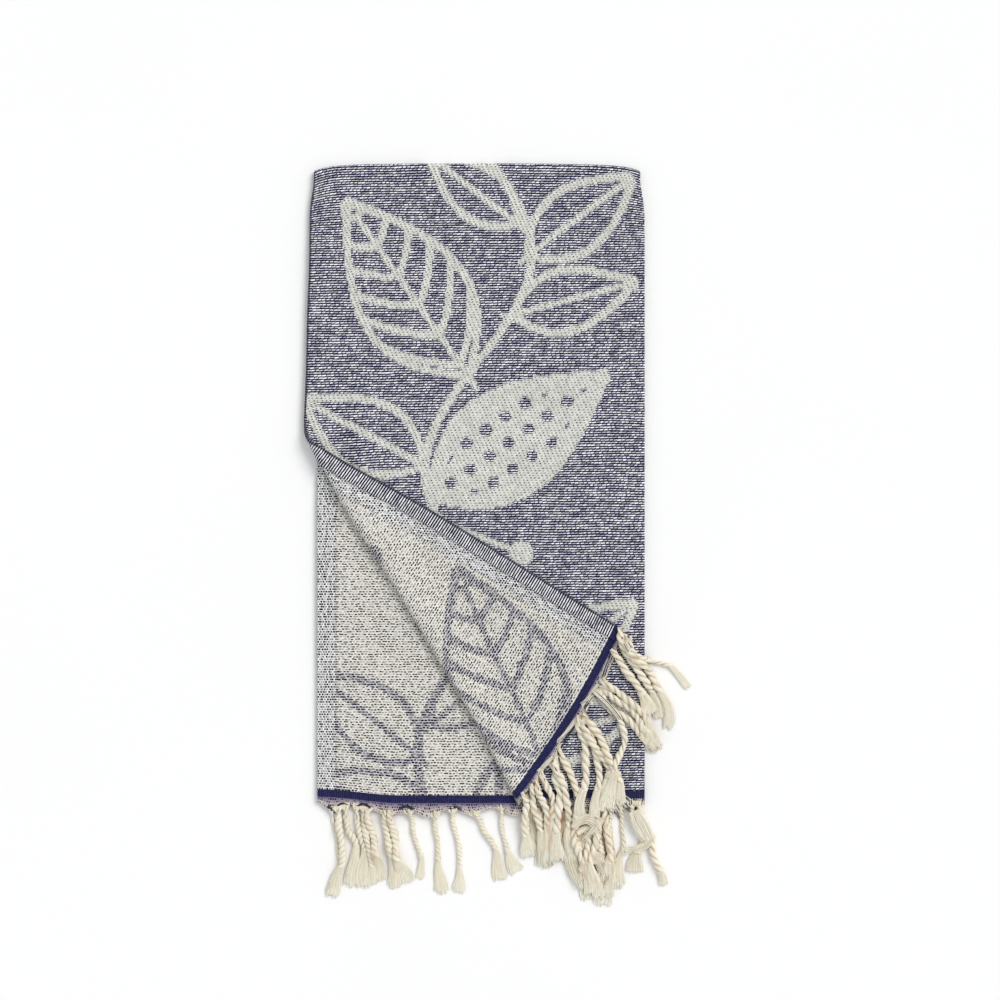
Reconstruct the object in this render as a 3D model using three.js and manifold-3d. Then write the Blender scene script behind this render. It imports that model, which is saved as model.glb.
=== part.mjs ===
// A turkish towel, folded in half lengthwise and then crosswise, with its lower left corner turned back.
// Millimetres. X runs across the folded towel, Y along it towards the top fold, and Z up from the surface.
import * as THREE from 'three';
import Module from 'manifold-3d';

const wasm = await Module();
wasm.setup();

// The cloth
const THICKNESS = 1.6;
const PITCH = 3.0; // from the middle of one layer to the middle of the next
const TURNED_MARGIN = 25; // selvedge turned under along the left edge of the top layer
const TURNED_LEAST = 2; // what is left of it at the top fold and in the back half
const MARGIN_RUNOUT = { from: 300, over: 170 }; // where along the front it runs out
const RAISED = { within: 8, over: 40 }; // the top layer lies higher over that margin, and this much past it

// The folded outline, seen from above
const LEFT = -268;
const RIGHT = 202;
const TOP = 520;
const FRONT_HEM = -378;
const BACK_HEM = -305;
const UNDER_SELVEDGE = -253; // left edge of the second layer
const BACK_TUCK = { by: 18, from: 300, over: 150 }; // the back half's left edge draws in under the corner
const MIDDLE = [-3.02, -0.44]; // middle of the towel's whole reach, fringe and all, which is the origin

// The corner that is turned back: its fold runs from the left edge down to the front hem
const TURN_TOP = [-253.9, 126.2];
const TURN_FOOT = [16.7, -362];
const TURN_RADIUS = 6.5;
const TURN_SETTLE = 55; // how far from its roll the flap comes down onto the cloth
const ROLL_LINES = [0, 0.25, 0.5, 0.75, 1]; // grid lines along the roll, as shares of its turn
const SETTLE_LINES = [12, 30, TURN_SETTLE]; // and beyond it, where the flap comes down
const FLAP_BOW = 9; // the flap's end bows out by this much
const UNDER_DROP = { least: -2, most: 7, over: 115, fold: 60 }; // the second layer's hem, below the top's
const HEM_REACH = 160; // how far up the cloth a hem's bow or drop is felt
// The turned fold isn't quite straight: shifts across it, at places along it, felt this far to its sides
const SWAYS = [
  { at: 70, over: 130, by: -9 },
  { at: 450, over: 110, by: 5 },
];
const SWAY_SIDES = 70;

// The lie of the whole towel
const TOP_CORNERS = { from: 380, over: 130, bow: 3, drop: 8, drawIn: 6 };
const LEFT_BULGE = { by: 2, at: 340, over: 45, from: -150, width: 110 };
const RIPPLES = [
  { height: 1.1, acrossLength: 70, alongLength: 160 },
  { height: 0.8, acrossLength: -190, alongLength: 85 },
];
const RIPPLE_TOP = 12; // ripples have their full height from here up, and none at the surface

// The fringe: half sizes of a cord's root, of the cord itself and of its tuft
const ROOT = { width: 1.6, height: 0.6, swellOver: 20 };
const CORD = { width: 3.6, height: 2.2, steps: 7 };
const TUFT = { width: 5.4, height: 1.5, from: 0.62, over: 0.3 };
const BACKING = { gap: 0.5, depth: 3.2, rootDepth: 2.5 };
const SLOPE = { fold: 2, foldOver: 30, hem: 6, hemOver: 42, clear: 0.5, landing: 26 };

// Cells of the cloth's grid
const ACROSS = { turned: 2, roll: 4, upper: 13, fold: 4, under: 12 };
const ALONG = { front: 22, fold: 6, back: 18 };

// Places that follow from these
const HALF = THICKNESS / 2;
const BEND = PITCH / 2; // radius of the right fold and of the rolled selvedge
const ROLL_X = LEFT + BEND + HALF;
const FOLD_X = RIGHT - BEND - HALF;
const STACK_MIDDLE = HALF + 1.5 * PITCH;
const TOP_AXIS = TOP - 1.5 * PITCH - HALF;
const UPPER_START = ACROSS.turned + ACROSS.roll;
const UPPER_END = UPPER_START + ACROSS.upper;
const UNDER_START = UPPER_END + ACROSS.fold;
const UNDER_END = UNDER_START + ACROSS.under;
const BACK_START = ALONG.front + ALONG.fold;
const BACK_END = BACK_START + ALONG.back;
const FRONT_ROW = (TOP_AXIS - FRONT_HEM) / ALONG.front;
const BACK_ROW = (TOP_AXIS - BACK_HEM) / ALONG.back;
const TURN_LENGTH = Math.hypot(TURN_FOOT[0] - TURN_TOP[0], TURN_FOOT[1] - TURN_TOP[1]);
const TURN_ALONG = [(TURN_FOOT[0] - TURN_TOP[0]) / TURN_LENGTH, (TURN_FOOT[1] - TURN_TOP[1]) / TURN_LENGTH];
const TURN_NORMAL = [-TURN_ALONG[1], TURN_ALONG[0]];
const TURN_ARC = Math.PI * TURN_RADIUS;
const UPPER_LEVEL = HALF + 3 * PITCH; // middle of the top layer
const CLOTH_TOP = UPPER_LEVEL + HALF;

const clamp = (value) => Math.min(1, Math.max(0, value));
const smooth = (value) => clamp(value) ** 2 * (3 - 2 * clamp(value));
const bump = (value) => Math.exp(-value * value);
// Spaces the grid's columns half as far apart at both edges of a layer as on average.
const closerAtEnds = (share) => share - Math.sin(2 * Math.PI * share) / (4 * Math.PI);

// Column, counted from a layer's first, whose place is a given share of the way across it.
function columnAt(share, cells) {
  const rounds = 20;
  let guess = share;
  for (let round = 0; round < rounds; round += 1) {
    guess -= (closerAtEnds(guess) - share) / (1 - Math.cos(2 * Math.PI * guess) / 2);
  }
  return cells * guess;
}

// Width of the turned-under margin at a height on the front: it runs out before the top fold.
function turnedMargin(y) {
  const runout = smooth((y - MARGIN_RUNOUT.from) / MARGIN_RUNOUT.over);
  return TURNED_LEAST + (TURNED_MARGIN - TURNED_LEAST) * (1 - runout);
}

// The two layers in section, from the upper layer's selvedge over the right fold to the lower one's.
// column counts grid cells, offset is measured from the cloth's middle to its face, and the answer is
// the place across the towel and the height above the upper layer's middle.
function section(column, offset, margin) {
  if (column <= ACROSS.turned) {
    return [ROLL_X + margin * (1 - column / ACROSS.turned), -2 * BEND - offset];
  }
  if (column <= UPPER_START) {
    const angle = (Math.PI * (column - ACROSS.turned)) / ACROSS.roll;
    const radius = BEND + offset;
    return [ROLL_X - radius * Math.sin(angle), -BEND - radius * Math.cos(angle)];
  }
  if (column <= UPPER_END) {
    return [ROLL_X + (FOLD_X - ROLL_X) * closerAtEnds((column - UPPER_START) / ACROSS.upper), offset];
  }
  if (column <= UNDER_START) {
    const angle = (Math.PI * (column - UPPER_END)) / ACROSS.fold;
    const radius = BEND + offset;
    return [FOLD_X + radius * Math.sin(angle), -BEND + radius * Math.cos(angle)];
  }
  const share = closerAtEnds((column - UNDER_START) / ACROSS.under);
  return [FOLD_X + (UNDER_SELVEDGE - FOLD_X) * share, -PITCH - offset];
}

// How far the front hem hangs below its plain line: bowed on the flap, lower on the second layer.
function hemDrop(column, x) {
  if (column < UPPER_END) {
    return FLAP_BOW * Math.sin(Math.PI * clamp((x - LEFT) / (TURN_FOOT[0] - LEFT)));
  }
  const dip = smooth((x - UNDER_SELVEDGE) / UNDER_DROP.over);
  const drop = UNDER_DROP.least + (UNDER_DROP.most - UNDER_DROP.least) * dip;
  return drop * smooth((RIGHT - x) / UNDER_DROP.fold);
}

// Height up the front of a flat place whose plain level is known, with its hem's bow or drop.
function heightOnFront(level, column, x) {
  return level - hemDrop(column, x) * (1 - smooth((level - FRONT_HEM) / HEM_REACH));
}

// Distance of a flat place past the line where the corner's roll begins.
function pastTurn(x, y) {
  return (TURN_TOP[0] - x) * TURN_NORMAL[0] + (TURN_TOP[1] - y) * TURN_NORMAL[1] + TURN_RADIUS;
}

// Rolls what lies past the line over a cylinder and lets it settle on the layer below.
function turnBack(x, y, height) {
  const past = pastTurn(x, y);
  if (past <= 0) return [x, y, height];
  let reach = TURN_ARC - past;
  let lifted = 2 * TURN_RADIUS - height - (2 * TURN_RADIUS - PITCH) * smooth(-reach / TURN_SETTLE);
  if (past < TURN_ARC) {
    const angle = past / TURN_RADIUS;
    reach = (TURN_RADIUS - height) * Math.sin(angle);
    lifted = TURN_RADIUS - (TURN_RADIUS - height) * Math.cos(angle);
  }
  return [x + TURN_NORMAL[0] * (past - reach), y + TURN_NORMAL[1] * (past - reach), lifted];
}

// Shifts the turned corner and the cloth beside it across their fold.
function sway(x, y) {
  const run = (x - TURN_TOP[0]) * TURN_ALONG[0] + (y - TURN_TOP[1]) * TURN_ALONG[1];
  const away = (x - TURN_TOP[0]) * TURN_NORMAL[0] + (y - TURN_TOP[1]) * TURN_NORMAL[1];
  const pull = SWAYS.reduce((sum, { at, over, by }) => sum + by * bump((run - at) / over), 0);
  const shift = pull * bump(away / SWAY_SIDES);
  return [x + TURN_NORMAL[0] * shift, y + TURN_NORMAL[1] * shift];
}

// A point of the folded cloth before the whole towel settles.
function foldCloth(column, row, offset) {
  const onFront = row <= ALONG.front;
  const level = onFront ? FRONT_HEM + FRONT_ROW * row : TOP;
  const margin = turnedMargin(level);
  let [x, height] = section(column, offset, margin);
  if (!onFront && row <= BACK_START) {
    const angle = (Math.PI * (row - ALONG.front)) / ALONG.fold;
    const radius = 1.5 * PITCH + height;
    return [x, TOP_AXIS + radius * Math.sin(angle), STACK_MIDDLE + radius * Math.cos(angle)];
  }
  if (!onFront) {
    const y = TOP_AXIS - BACK_ROW * (row - BACK_START);
    const drawn = smooth((BACK_TUCK.from - y) / BACK_TUCK.over);
    x += BACK_TUCK.by * drawn * ((FOLD_X - x) / (FOLD_X - LEFT)) ** 2;
    return [x, y, STACK_MIDDLE - 1.5 * PITCH - height];
  }
  let y = heightOnFront(level, column, x);
  if (column > UPPER_END) return [x, y, UPPER_LEVEL + height];
  const share = smooth((margin - TURNED_LEAST) / RAISED.within);
  const raised = PITCH * share * (1 - smooth((x - ROLL_X - TURNED_MARGIN) / RAISED.over));
  height += raised * (1 - smooth(pastTurn(x, y) / TURN_ARC));
  [x, y, height] = turnBack(x, y, height);
  [x, y] = sway(x, y);
  return [x, y, UPPER_LEVEL + height];
}

// Gives a folded point its final place: soft upper corners, an uneven left edge and low ripples that
// fade to the flat underside.
function settle([x, y, z]) {
  const across = (2 * x - LEFT - RIGHT) / (RIGHT - LEFT);
  const upper = smooth((y - TOP_CORNERS.from) / TOP_CORNERS.over);
  const onLeft = smooth((LEFT_BULGE.from - x) / LEFT_BULGE.width);
  const bulge = LEFT_BULGE.by * Math.tanh((y - LEFT_BULGE.at) / LEFT_BULGE.over) * onLeft;
  const drawnIn = TOP_CORNERS.drawIn * upper ** 6 * across ** 9;
  const lowered = upper * (TOP_CORNERS.bow * across ** 2 + TOP_CORNERS.drop * across ** 10);
  const ripple = RIPPLES.reduce(
    (sum, wave) => sum + wave.height * Math.sin(x / wave.acrossLength + y / wave.alongLength),
    0,
  );
  const share = clamp(z / RIPPLE_TOP);
  return [x + bulge - drawnIn - MIDDLE[0], y - lowered - MIDDLE[1], z + ripple * share];
}

// Triangles of a grid over lists of columns and rows, as places [column, row].
function gridOver(columns, rows) {
  const places = [];
  const triangles = [];
  const width = columns.length;
  rows.forEach((row) => columns.forEach((column) => places.push([column, row])));
  for (let j = 0; j + 1 < rows.length; j += 1) {
    for (let i = 0; i + 1 < width; i += 1) {
      const first = j * width + i;
      triangles.push([first, first + 1, first + width + 1], [first, first + width + 1, first + width]);
    }
  }
  return { places, triangles };
}

// Flat distance past the turn line of a place on the upper front layer, or far short of it elsewhere.
function turnDistance([column, row]) {
  if (column > UPPER_END || row > ALONG.front) return -Infinity;
  const level = FRONT_HEM + FRONT_ROW * row;
  const [x] = section(column, 0, turnedMargin(level));
  return pastTurn(x, heightOnFront(level, column, x));
}

// Moves grid places that lie close to a line onto it, so that the cut leaves no slivers.
function drawOnto(grid, level, tolerance) {
  grid.places.forEach((place) => {
    const short = level - turnDistance(place);
    if (Math.abs(short) > tolerance) return;
    const onHem = place[1] === 0;
    if (onHem && place[0] > UPPER_START && place[0] < UPPER_END) {
      const back = 0.1;
      const step = turnDistance([place[0] - back, 0]) - turnDistance(place);
      place[0] -= (back * short) / step;
    }
    if (!onHem) place[1] -= short / (TURN_NORMAL[1] * FRONT_ROW);
  });
}

// Cuts the grid's triangles along a line, with shared new places.
function cutAlong(grid, level) {
  const distances = grid.places.map((place) => turnDistance(place) - level);
  const nearLine = 0.35;
  const side = (index) => (Math.abs(distances[index]) < nearLine ? 0 : Math.sign(distances[index]));
  const made = new Map();
  function between(a, b) {
    const key = a < b ? `${a} ${b}` : `${b} ${a}`;
    if (!made.has(key)) {
      const share = distances[a] / (distances[a] - distances[b]);
      const [from, to] = [grid.places[a], grid.places[b]];
      made.set(key, grid.places.push([0, 1].map((k) => from[k] + (to[k] - from[k]) * share)) - 1);
    }
    return made.get(key);
  }
  grid.triangles = grid.triangles.flatMap((triangle) => {
    const sides = triangle.map(side);
    if (!sides.includes(1) || !sides.includes(-1)) return [triangle];
    const onLine = sides.indexOf(0);
    if (onLine >= 0) {
      const [a, b, c] = [0, 1, 2].map((k) => triangle[(onLine + k) % 3]);
      const middle = between(b, c);
      return [[a, b, middle], [a, middle, c]];
    }
    const total = sides[0] + sides[1] + sides[2];
    const lone = sides.indexOf(-Math.sign(total));
    const [a, b, c] = [0, 1, 2].map((k) => triangle[(lone + k) % 3]);
    const [ab, ac] = [between(a, b), between(a, c)];
    return [[a, ab, ac], [ab, b, c], [ab, c, ac]];
  });
}

// A closed sheet: the grid's two faces and a wall around its edge.
function closedSheet(grid) {
  const count = grid.places.length;
  const points = [HALF, -HALF].flatMap((offset) =>
    grid.places.map(([column, row]) => settle(foldCloth(column, row, offset))),
  );
  const faces = [];
  const edges = new Map();
  grid.triangles.forEach(([a, b, c]) => {
    faces.push([a, b, c], [count + a, count + c, count + b]);
    [[a, b], [b, c], [c, a]].forEach(([from, to]) => {
      if (!edges.delete(`${to} ${from}`)) edges.set(`${from} ${to}`, [from, to]);
    });
  });
  edges.forEach(([from, to]) => {
    faces.push([from, count + from, count + to], [from, count + to, to]);
  });
  return { points, faces };
}

// One cord: a four-sided section carried along a curve in plan, with its height from a function of the
// run so far and of the section's own half height. It swells from its root and flares into a tuft.
function cord(root, middle, tip, heightAt) {
  const control = [0, 1].map((k) => 2 * middle[k] - (root[k] + tip[k]) / 2);
  const plan = new THREE.QuadraticBezierCurve(
    new THREE.Vector2(root[0], root[1]),
    new THREE.Vector2(...control),
    new THREE.Vector2(tip[0], tip[1]),
  );
  const length = plan.getLength();
  const points = [];
  const faces = [];
  for (let step = 0; step <= CORD.steps; step += 1) {
    const share = step / CORD.steps;
    const place = plan.getPoint(share);
    const heading = plan.getTangent(share);
    const run = share * length;
    const swell = smooth(run / ROOT.swellOver);
    const flare = smooth((share - TUFT.from) / TUFT.over);
    const [halfWidth, halfHeight] = ['width', 'height'].map((size) => {
      const full = CORD[size] + (TUFT[size] - CORD[size]) * flare;
      return ROOT[size] + (full - ROOT[size]) * swell;
    });
    const z = heightAt(place.x, place.y, run, halfHeight);
    [[1, 1], [-1, 1], [-1, -1], [1, -1]].forEach(([side, up]) => {
      const across = side * halfWidth;
      points.push(settle([place.x + heading.y * across, place.y - heading.x * across, z + up * halfHeight]));
    });
  }
  for (let step = 0; step < CORD.steps; step += 1) {
    for (let k = 0; k < 4; k += 1) {
      const [a, b] = [4 * step + k, 4 * step + ((k + 1) % 4)];
      faces.push([a, b + 4, b], [a, a + 4, b + 4]);
    }
  }
  const last = 4 * CORD.steps;
  faces.push([0, 1, 2], [0, 2, 3], [last, last + 2, last + 1], [last, last + 3, last + 2]);
  return { points, faces };
}

function solidOf({ points, faces }) {
  return new wasm.Manifold(
    new wasm.Mesh({
      numProp: 3,
      vertProperties: Float32Array.from(points.flat()),
      triVerts: Uint32Array.from(faces.flat()),
    }),
  );
}

function geometryOf(points, faces) {
  const geometry = new THREE.BufferGeometry();
  geometry.setAttribute('position', new THREE.BufferAttribute(Float32Array.from(points), 3));
  geometry.setIndex([...faces]);
  geometry.computeVertexNormals();
  return geometry;
}

const clothMaterial = () =>
  new THREE.MeshStandardMaterial({ color: new THREE.Color(0.16, 0.16, 0.3), roughness: 0.92, metalness: 0 });
const yarnMaterial = () =>
  new THREE.MeshStandardMaterial({ color: new THREE.Color(0.8, 0.74, 0.62), roughness: 0.95, metalness: 0 });

function towel() {
  const columns = Array.from({ length: UNDER_END + 1 }, (_, k) => k);
  const rows = Array.from({ length: BACK_END + 1 }, (_, k) => k);
  const grid = gridOver(columns, rows);
  const rollLevels = ROLL_LINES.map((share) => share * TURN_ARC);
  const settleLevels = SETTLE_LINES.map((back) => TURN_ARC + back);
  const closeBy = 2.2;
  [...rollLevels, ...settleLevels].forEach((level) => {
    drawOnto(grid, level, closeBy);
    cutAlong(grid, level);
  });
  const { points, faces } = closedSheet(grid);
  return new THREE.Mesh(geometryOf(points.flat(), faces.flat()), clothMaterial());
}

// Columns of the grid at places across the towel, on the upper and on the second layer
const upperColumn = (x) => UPPER_START + columnAt((x - ROLL_X) / (FOLD_X - ROLL_X), ACROSS.upper);
const underColumn = (x) => UNDER_START + columnAt((x - FOLD_X) / (UNDER_SELVEDGE - FOLD_X), ACROSS.under);
const flapColumn = (along) => upperColumn(LEFT + along);

// Falls from a height to the surface, once the run has passed a lip and until it has gone on by a reach.
const falling = (lip, reach) => (from, x, y, run, halfHeight) =>
  halfHeight + Math.max(0, from - halfHeight) * (1 - smooth((run - lip) / reach));

// Comes down onto the cloth, then slopes to the surface past the right fold and past the front hem.
function lyingOnCloth(from, x, y, run, halfHeight) {
  const pastFold = smooth((x - RIGHT - SLOPE.fold) / SLOPE.foldOver);
  const pastHem = smooth((FRONT_HEM - BACKING.gap - BACKING.depth - SLOPE.hem - y) / SLOPE.hemOver);
  const rest = (CLOTH_TOP + SLOPE.clear) * (1 - pastFold) * (1 - pastHem) + halfHeight;
  return rest + (from - rest) * (1 - smooth(run / SLOPE.landing));
}

// A run of fringe: a backing strip along part of one end of the cloth, with its cords fused to it.
// end is the grid row of that end and beyond the share of a row that is one millimetre past it.
function fringe({ columnOf, from, to, end, beyond, heightAt, cords }) {
  const rootRow = end + beyond * BACKING.rootDepth;
  const edges = [BACKING.gap, BACKING.gap + BACKING.depth].map((far) => end + beyond * far);
  const rows = [Math.min(...edges), Math.max(...edges)];
  const roots = cords.map(({ root }) => columnOf(root));
  const whole = Array.from({ length: UNDER_END }, (_, k) => k).filter((k) => k > from && k < to);
  const apart = 0.1;
  const spaced = whole.filter((k) => roots.every((root) => Math.abs(root - k) > apart));
  const columns = [from, ...spaced, ...roots, to].sort((a, b) => a - b);
  const strip = solidOf(closedSheet(gridOver(columns, rows)));
  const solids = cords.map(({ middle, tip }, k) => {
    const [x, y, z] = foldCloth(roots[k], rootRow, 0);
    return solidOf(cord([x, y], middle, tip, (...place) => heightAt(z, ...place)));
  });
  const joined = wasm.Manifold.union([strip, ...solids]).getMesh();
  return new THREE.Mesh(geometryOf(joined.vertProperties, joined.triVerts), yarnMaterial());
}

// The turned corner's end. Cords: root from the corner along the end, middle and tip in plan
const FLAP_FRINGE = {
  columnOf: flapColumn,
  from: flapColumn(4),
  to: flapColumn(256),
  end: 0,
  beyond: -1 / FRONT_ROW,
  heightAt: lyingOnCloth,
  cords: [
    { root: 8, middle: [214, -188], tip: [266, -216] },
    { root: 26, middle: [204, -212], tip: [236, -252] },
    { root: 46, middle: [190, -226], tip: [228, -277] },
    { root: 68, middle: [176, -240], tip: [215, -297] },
    { root: 90, middle: [163, -254], tip: [193, -314] },
    { root: 112, middle: [150, -267], tip: [177, -332] },
    { root: 134, middle: [136, -280], tip: [157, -348] },
    { root: 156, middle: [121, -292], tip: [138, -360] },
    { root: 178, middle: [106, -304], tip: [120, -367] },
    { root: 200, middle: [91, -318], tip: [103, -371] },
    { root: 220, middle: [78, -376], tip: [89, -450] },
    { root: 240, middle: [57, -384], tip: [65, -466] },
  ],
};

// The top layer's end, right of the turned corner. Cords: root across, middle and tip in plan
const FRONT_FRINGE = {
  columnOf: upperColumn,
  from: upperColumn(48),
  to: UPPER_END - 0.2,
  end: 0,
  beyond: -1 / FRONT_ROW,
  heightAt: falling(12, 34),
  cords: [
    { root: 66, middle: [73, -425], tip: [79, -462] },
    { root: 90, middle: [98, -428], tip: [104, -470] },
    { root: 114, middle: [124, -448], tip: [135, -518] },
    { root: 138, middle: [148, -449], tip: [159, -520] },
    { root: 162, middle: [170, -434], tip: [178, -488] },
    { root: 186, middle: [194, -430], tip: [201, -478] },
  ],
};

// The second layer's end. Cords: root across, middle and tip in plan
const UNDER_FRINGE = {
  columnOf: underColumn,
  from: UNDER_START,
  to: UNDER_END - 0.1,
  end: 0,
  beyond: -1 / FRONT_ROW,
  heightAt: falling(4, 30),
  cords: [
    { root: -230, middle: [-221, -448], tip: [-236, -507] },
    { root: -215, middle: [-206, -440], tip: [-216, -494] },
    { root: -202, middle: [-192, -438], tip: [-198, -493] },
    { root: -187, middle: [-177, -440], tip: [-180, -494] },
    { root: -173, middle: [-162, -436], tip: [-163, -483] },
    { root: -158, middle: [-147, -442], tip: [-149, -499] },
    { root: -142, middle: [-133, -440], tip: [-130, -492] },
    { root: -125, middle: [-112, -436], tip: [-110, -481] },
    { root: -92, middle: [-88, -442], tip: [-82, -504] },
    { root: -68, middle: [-59, -440], tip: [-60, -502] },
    { root: -35, middle: [-17, -436], tip: [-1, -485] },
    { root: -8, middle: [-1, -430], tip: [12, -474] },
    { root: 13, middle: [20, -425], tip: [25, -462] },
    { root: 28, middle: [34, -430], tip: [39, -470] },
    { root: 42, middle: [48, -424], tip: [52, -455] },
    { root: 102, middle: [112, -445], tip: [120, -500] },
    { root: 126, middle: [136, -449], tip: [147, -516] },
    { root: 150, middle: [159, -440], tip: [168, -498] },
    { root: 174, middle: [182, -430], tip: [188, -470] },
    { root: 193, middle: [210, -428], tip: [231, -487] },
  ],
};

// The two ends of the back half, hidden under the front: straight cords, side by side
const BACK_CORDS = { count: 18, spacing: 24.5, length: 74, sway: 1.5 };

function backFringe(columnOf, from, to, firstRoot) {
  const cords = Array.from({ length: BACK_CORDS.count }, (_, k) => {
    const root = firstRoot + BACK_CORDS.spacing * k;
    const [x, y] = foldCloth(columnOf(root), BACK_END, 0);
    const middle = [x + BACK_CORDS.sway, y - BACK_CORDS.length / 2];
    return { root, middle, tip: [x, y - BACK_CORDS.length] };
  });
  return fringe({ columnOf, from, to, end: BACK_END, beyond: 1 / BACK_ROW, heightAt: falling(3, 24), cords });
}

const pieces = {
  towel: towel(),
  fringe_flap: fringe(FLAP_FRINGE),
  fringe_front: fringe(FRONT_FRINGE),
  fringe_under: fringe(UNDER_FRINGE),
  fringe_back_inner: backFringe(underColumn, UNDER_START, UNDER_END - 0.1, -241),
  fringe_back_outer: backFringe(upperColumn, UPPER_START + 0.3, UPPER_END - 0.2, -253),
};

const group = new THREE.Group();
Object.entries(pieces).forEach(([name, mesh]) => {
  mesh.name = name;
  group.add(mesh);
});

export default group;
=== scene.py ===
# %% [markdown]
# # A folded turkish towel with a knotted fringe
#
# The towel is one piece of double cloth. It is folded in half lengthwise and then in half across,
# and one front corner is turned back. Its warp ends are twisted into cords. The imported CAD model
# gives the folds and the room that each fringe has, and this lesson adds what makes it cloth:
# the weave, the figure, the twisted cords and their soft tufts.
#
# Everything below is in millimetres until a mesh is made, and a mesh is in metres.

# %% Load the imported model
import math

import bpy
import numpy as np
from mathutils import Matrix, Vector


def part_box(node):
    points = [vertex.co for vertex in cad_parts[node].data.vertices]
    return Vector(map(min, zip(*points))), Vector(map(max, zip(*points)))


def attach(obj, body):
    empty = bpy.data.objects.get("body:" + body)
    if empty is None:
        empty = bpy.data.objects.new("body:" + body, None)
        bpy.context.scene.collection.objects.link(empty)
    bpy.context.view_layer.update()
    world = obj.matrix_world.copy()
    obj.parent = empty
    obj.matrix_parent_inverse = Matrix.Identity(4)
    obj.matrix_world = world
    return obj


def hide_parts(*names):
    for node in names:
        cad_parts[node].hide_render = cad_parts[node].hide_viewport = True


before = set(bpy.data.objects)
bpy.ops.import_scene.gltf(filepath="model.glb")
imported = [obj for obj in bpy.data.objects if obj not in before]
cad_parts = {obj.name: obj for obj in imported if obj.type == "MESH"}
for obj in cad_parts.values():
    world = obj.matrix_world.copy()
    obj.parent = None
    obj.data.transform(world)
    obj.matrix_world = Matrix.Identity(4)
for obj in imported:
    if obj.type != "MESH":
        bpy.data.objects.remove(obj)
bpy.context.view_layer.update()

chance = np.random.default_rng(20)

# %% [markdown]
# ## The studio
#
# The towel lies on a pale table and is seen from straight above. A long lens far away keeps the
# edges parallel. One millimetre on the cloth is 1 / 1.395 of a pixel in a picture of 1000 pixels,
# so the camera's distance follows from the lens and its sensor. The light is a bright, even sky
# with a wide soft sun from the upper right, which leaves a soft shade on the left of each fold.

# %% Camera, table and light
PIXEL = 1.395
MIDDLE = (-3.02, -0.44)
PICTURE_CENTRE = (500, 500)
DESIGN_CENTRE = (500, 535.5)
LENS, SENSOR, PICTURE = 100, 36, 1000
CLOTH_LEVEL = 0.012
SKY_STRENGTH = 0.66
SUN_STRENGTH, SUN_WIDTH, SUN_TURN = 1.5, 32, (-24, 34)


def from_picture(points):
    """Millimetres in the model's frame of picture places: one PIXEL each, from the design's own centre."""
    places = np.asarray(points, float)
    x = (places[..., 0] - DESIGN_CENTRE[0]) * PIXEL - MIDDLE[0]
    y = (DESIGN_CENTRE[1] - places[..., 1]) * PIXEL - MIDDLE[1]
    return np.stack([x, y], -1)


def studio():
    """The camera looks straight down from PICTURE · PIXEL · LENS / SENSOR above the cloth."""
    distance = PICTURE * PIXEL * LENS / SENSOR / 1000
    camera = bpy.data.objects.new("camera", bpy.data.cameras.new("camera"))
    camera.data.lens, camera.data.sensor_width = LENS, SENSOR
    x, y = from_picture(PICTURE_CENTRE) / 1000
    camera.location = (x, y, distance + CLOTH_LEVEL)
    bpy.context.scene.collection.objects.link(camera)
    bpy.context.scene.camera = camera
    bpy.context.scene.view_settings.view_transform = "Standard"

    world = bpy.data.worlds.new("even sky")
    bpy.context.scene.world = world
    world.use_nodes = True
    world.node_tree.nodes["Background"].inputs["Color"].default_value = (0.97, 0.985, 1, 1)
    world.node_tree.nodes["Background"].inputs["Strength"].default_value = SKY_STRENGTH

    sun = bpy.data.objects.new("soft sun", bpy.data.lights.new("soft sun", "SUN"))
    sun.data.energy, sun.data.angle = SUN_STRENGTH, math.radians(SUN_WIDTH)
    sun.data.color = (1, 0.985, 0.96)
    sun.rotation_euler = (math.radians(SUN_TURN[0]), math.radians(SUN_TURN[1]), 0)
    bpy.context.scene.collection.objects.link(sun)
    print("camera height in metres:", round(camera.location.z, 3))


studio()

# %% [markdown]
# ## Shader maths as expressions
#
# A weave is arithmetic on the cloth's own measures: which row, which thread, over or under. The
# class below wraps a node's output, so that such arithmetic can be written as Python expressions,
# and each operator adds one Math node. Everything that isn't a plain number goes through one
# method that adds any node.


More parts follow.
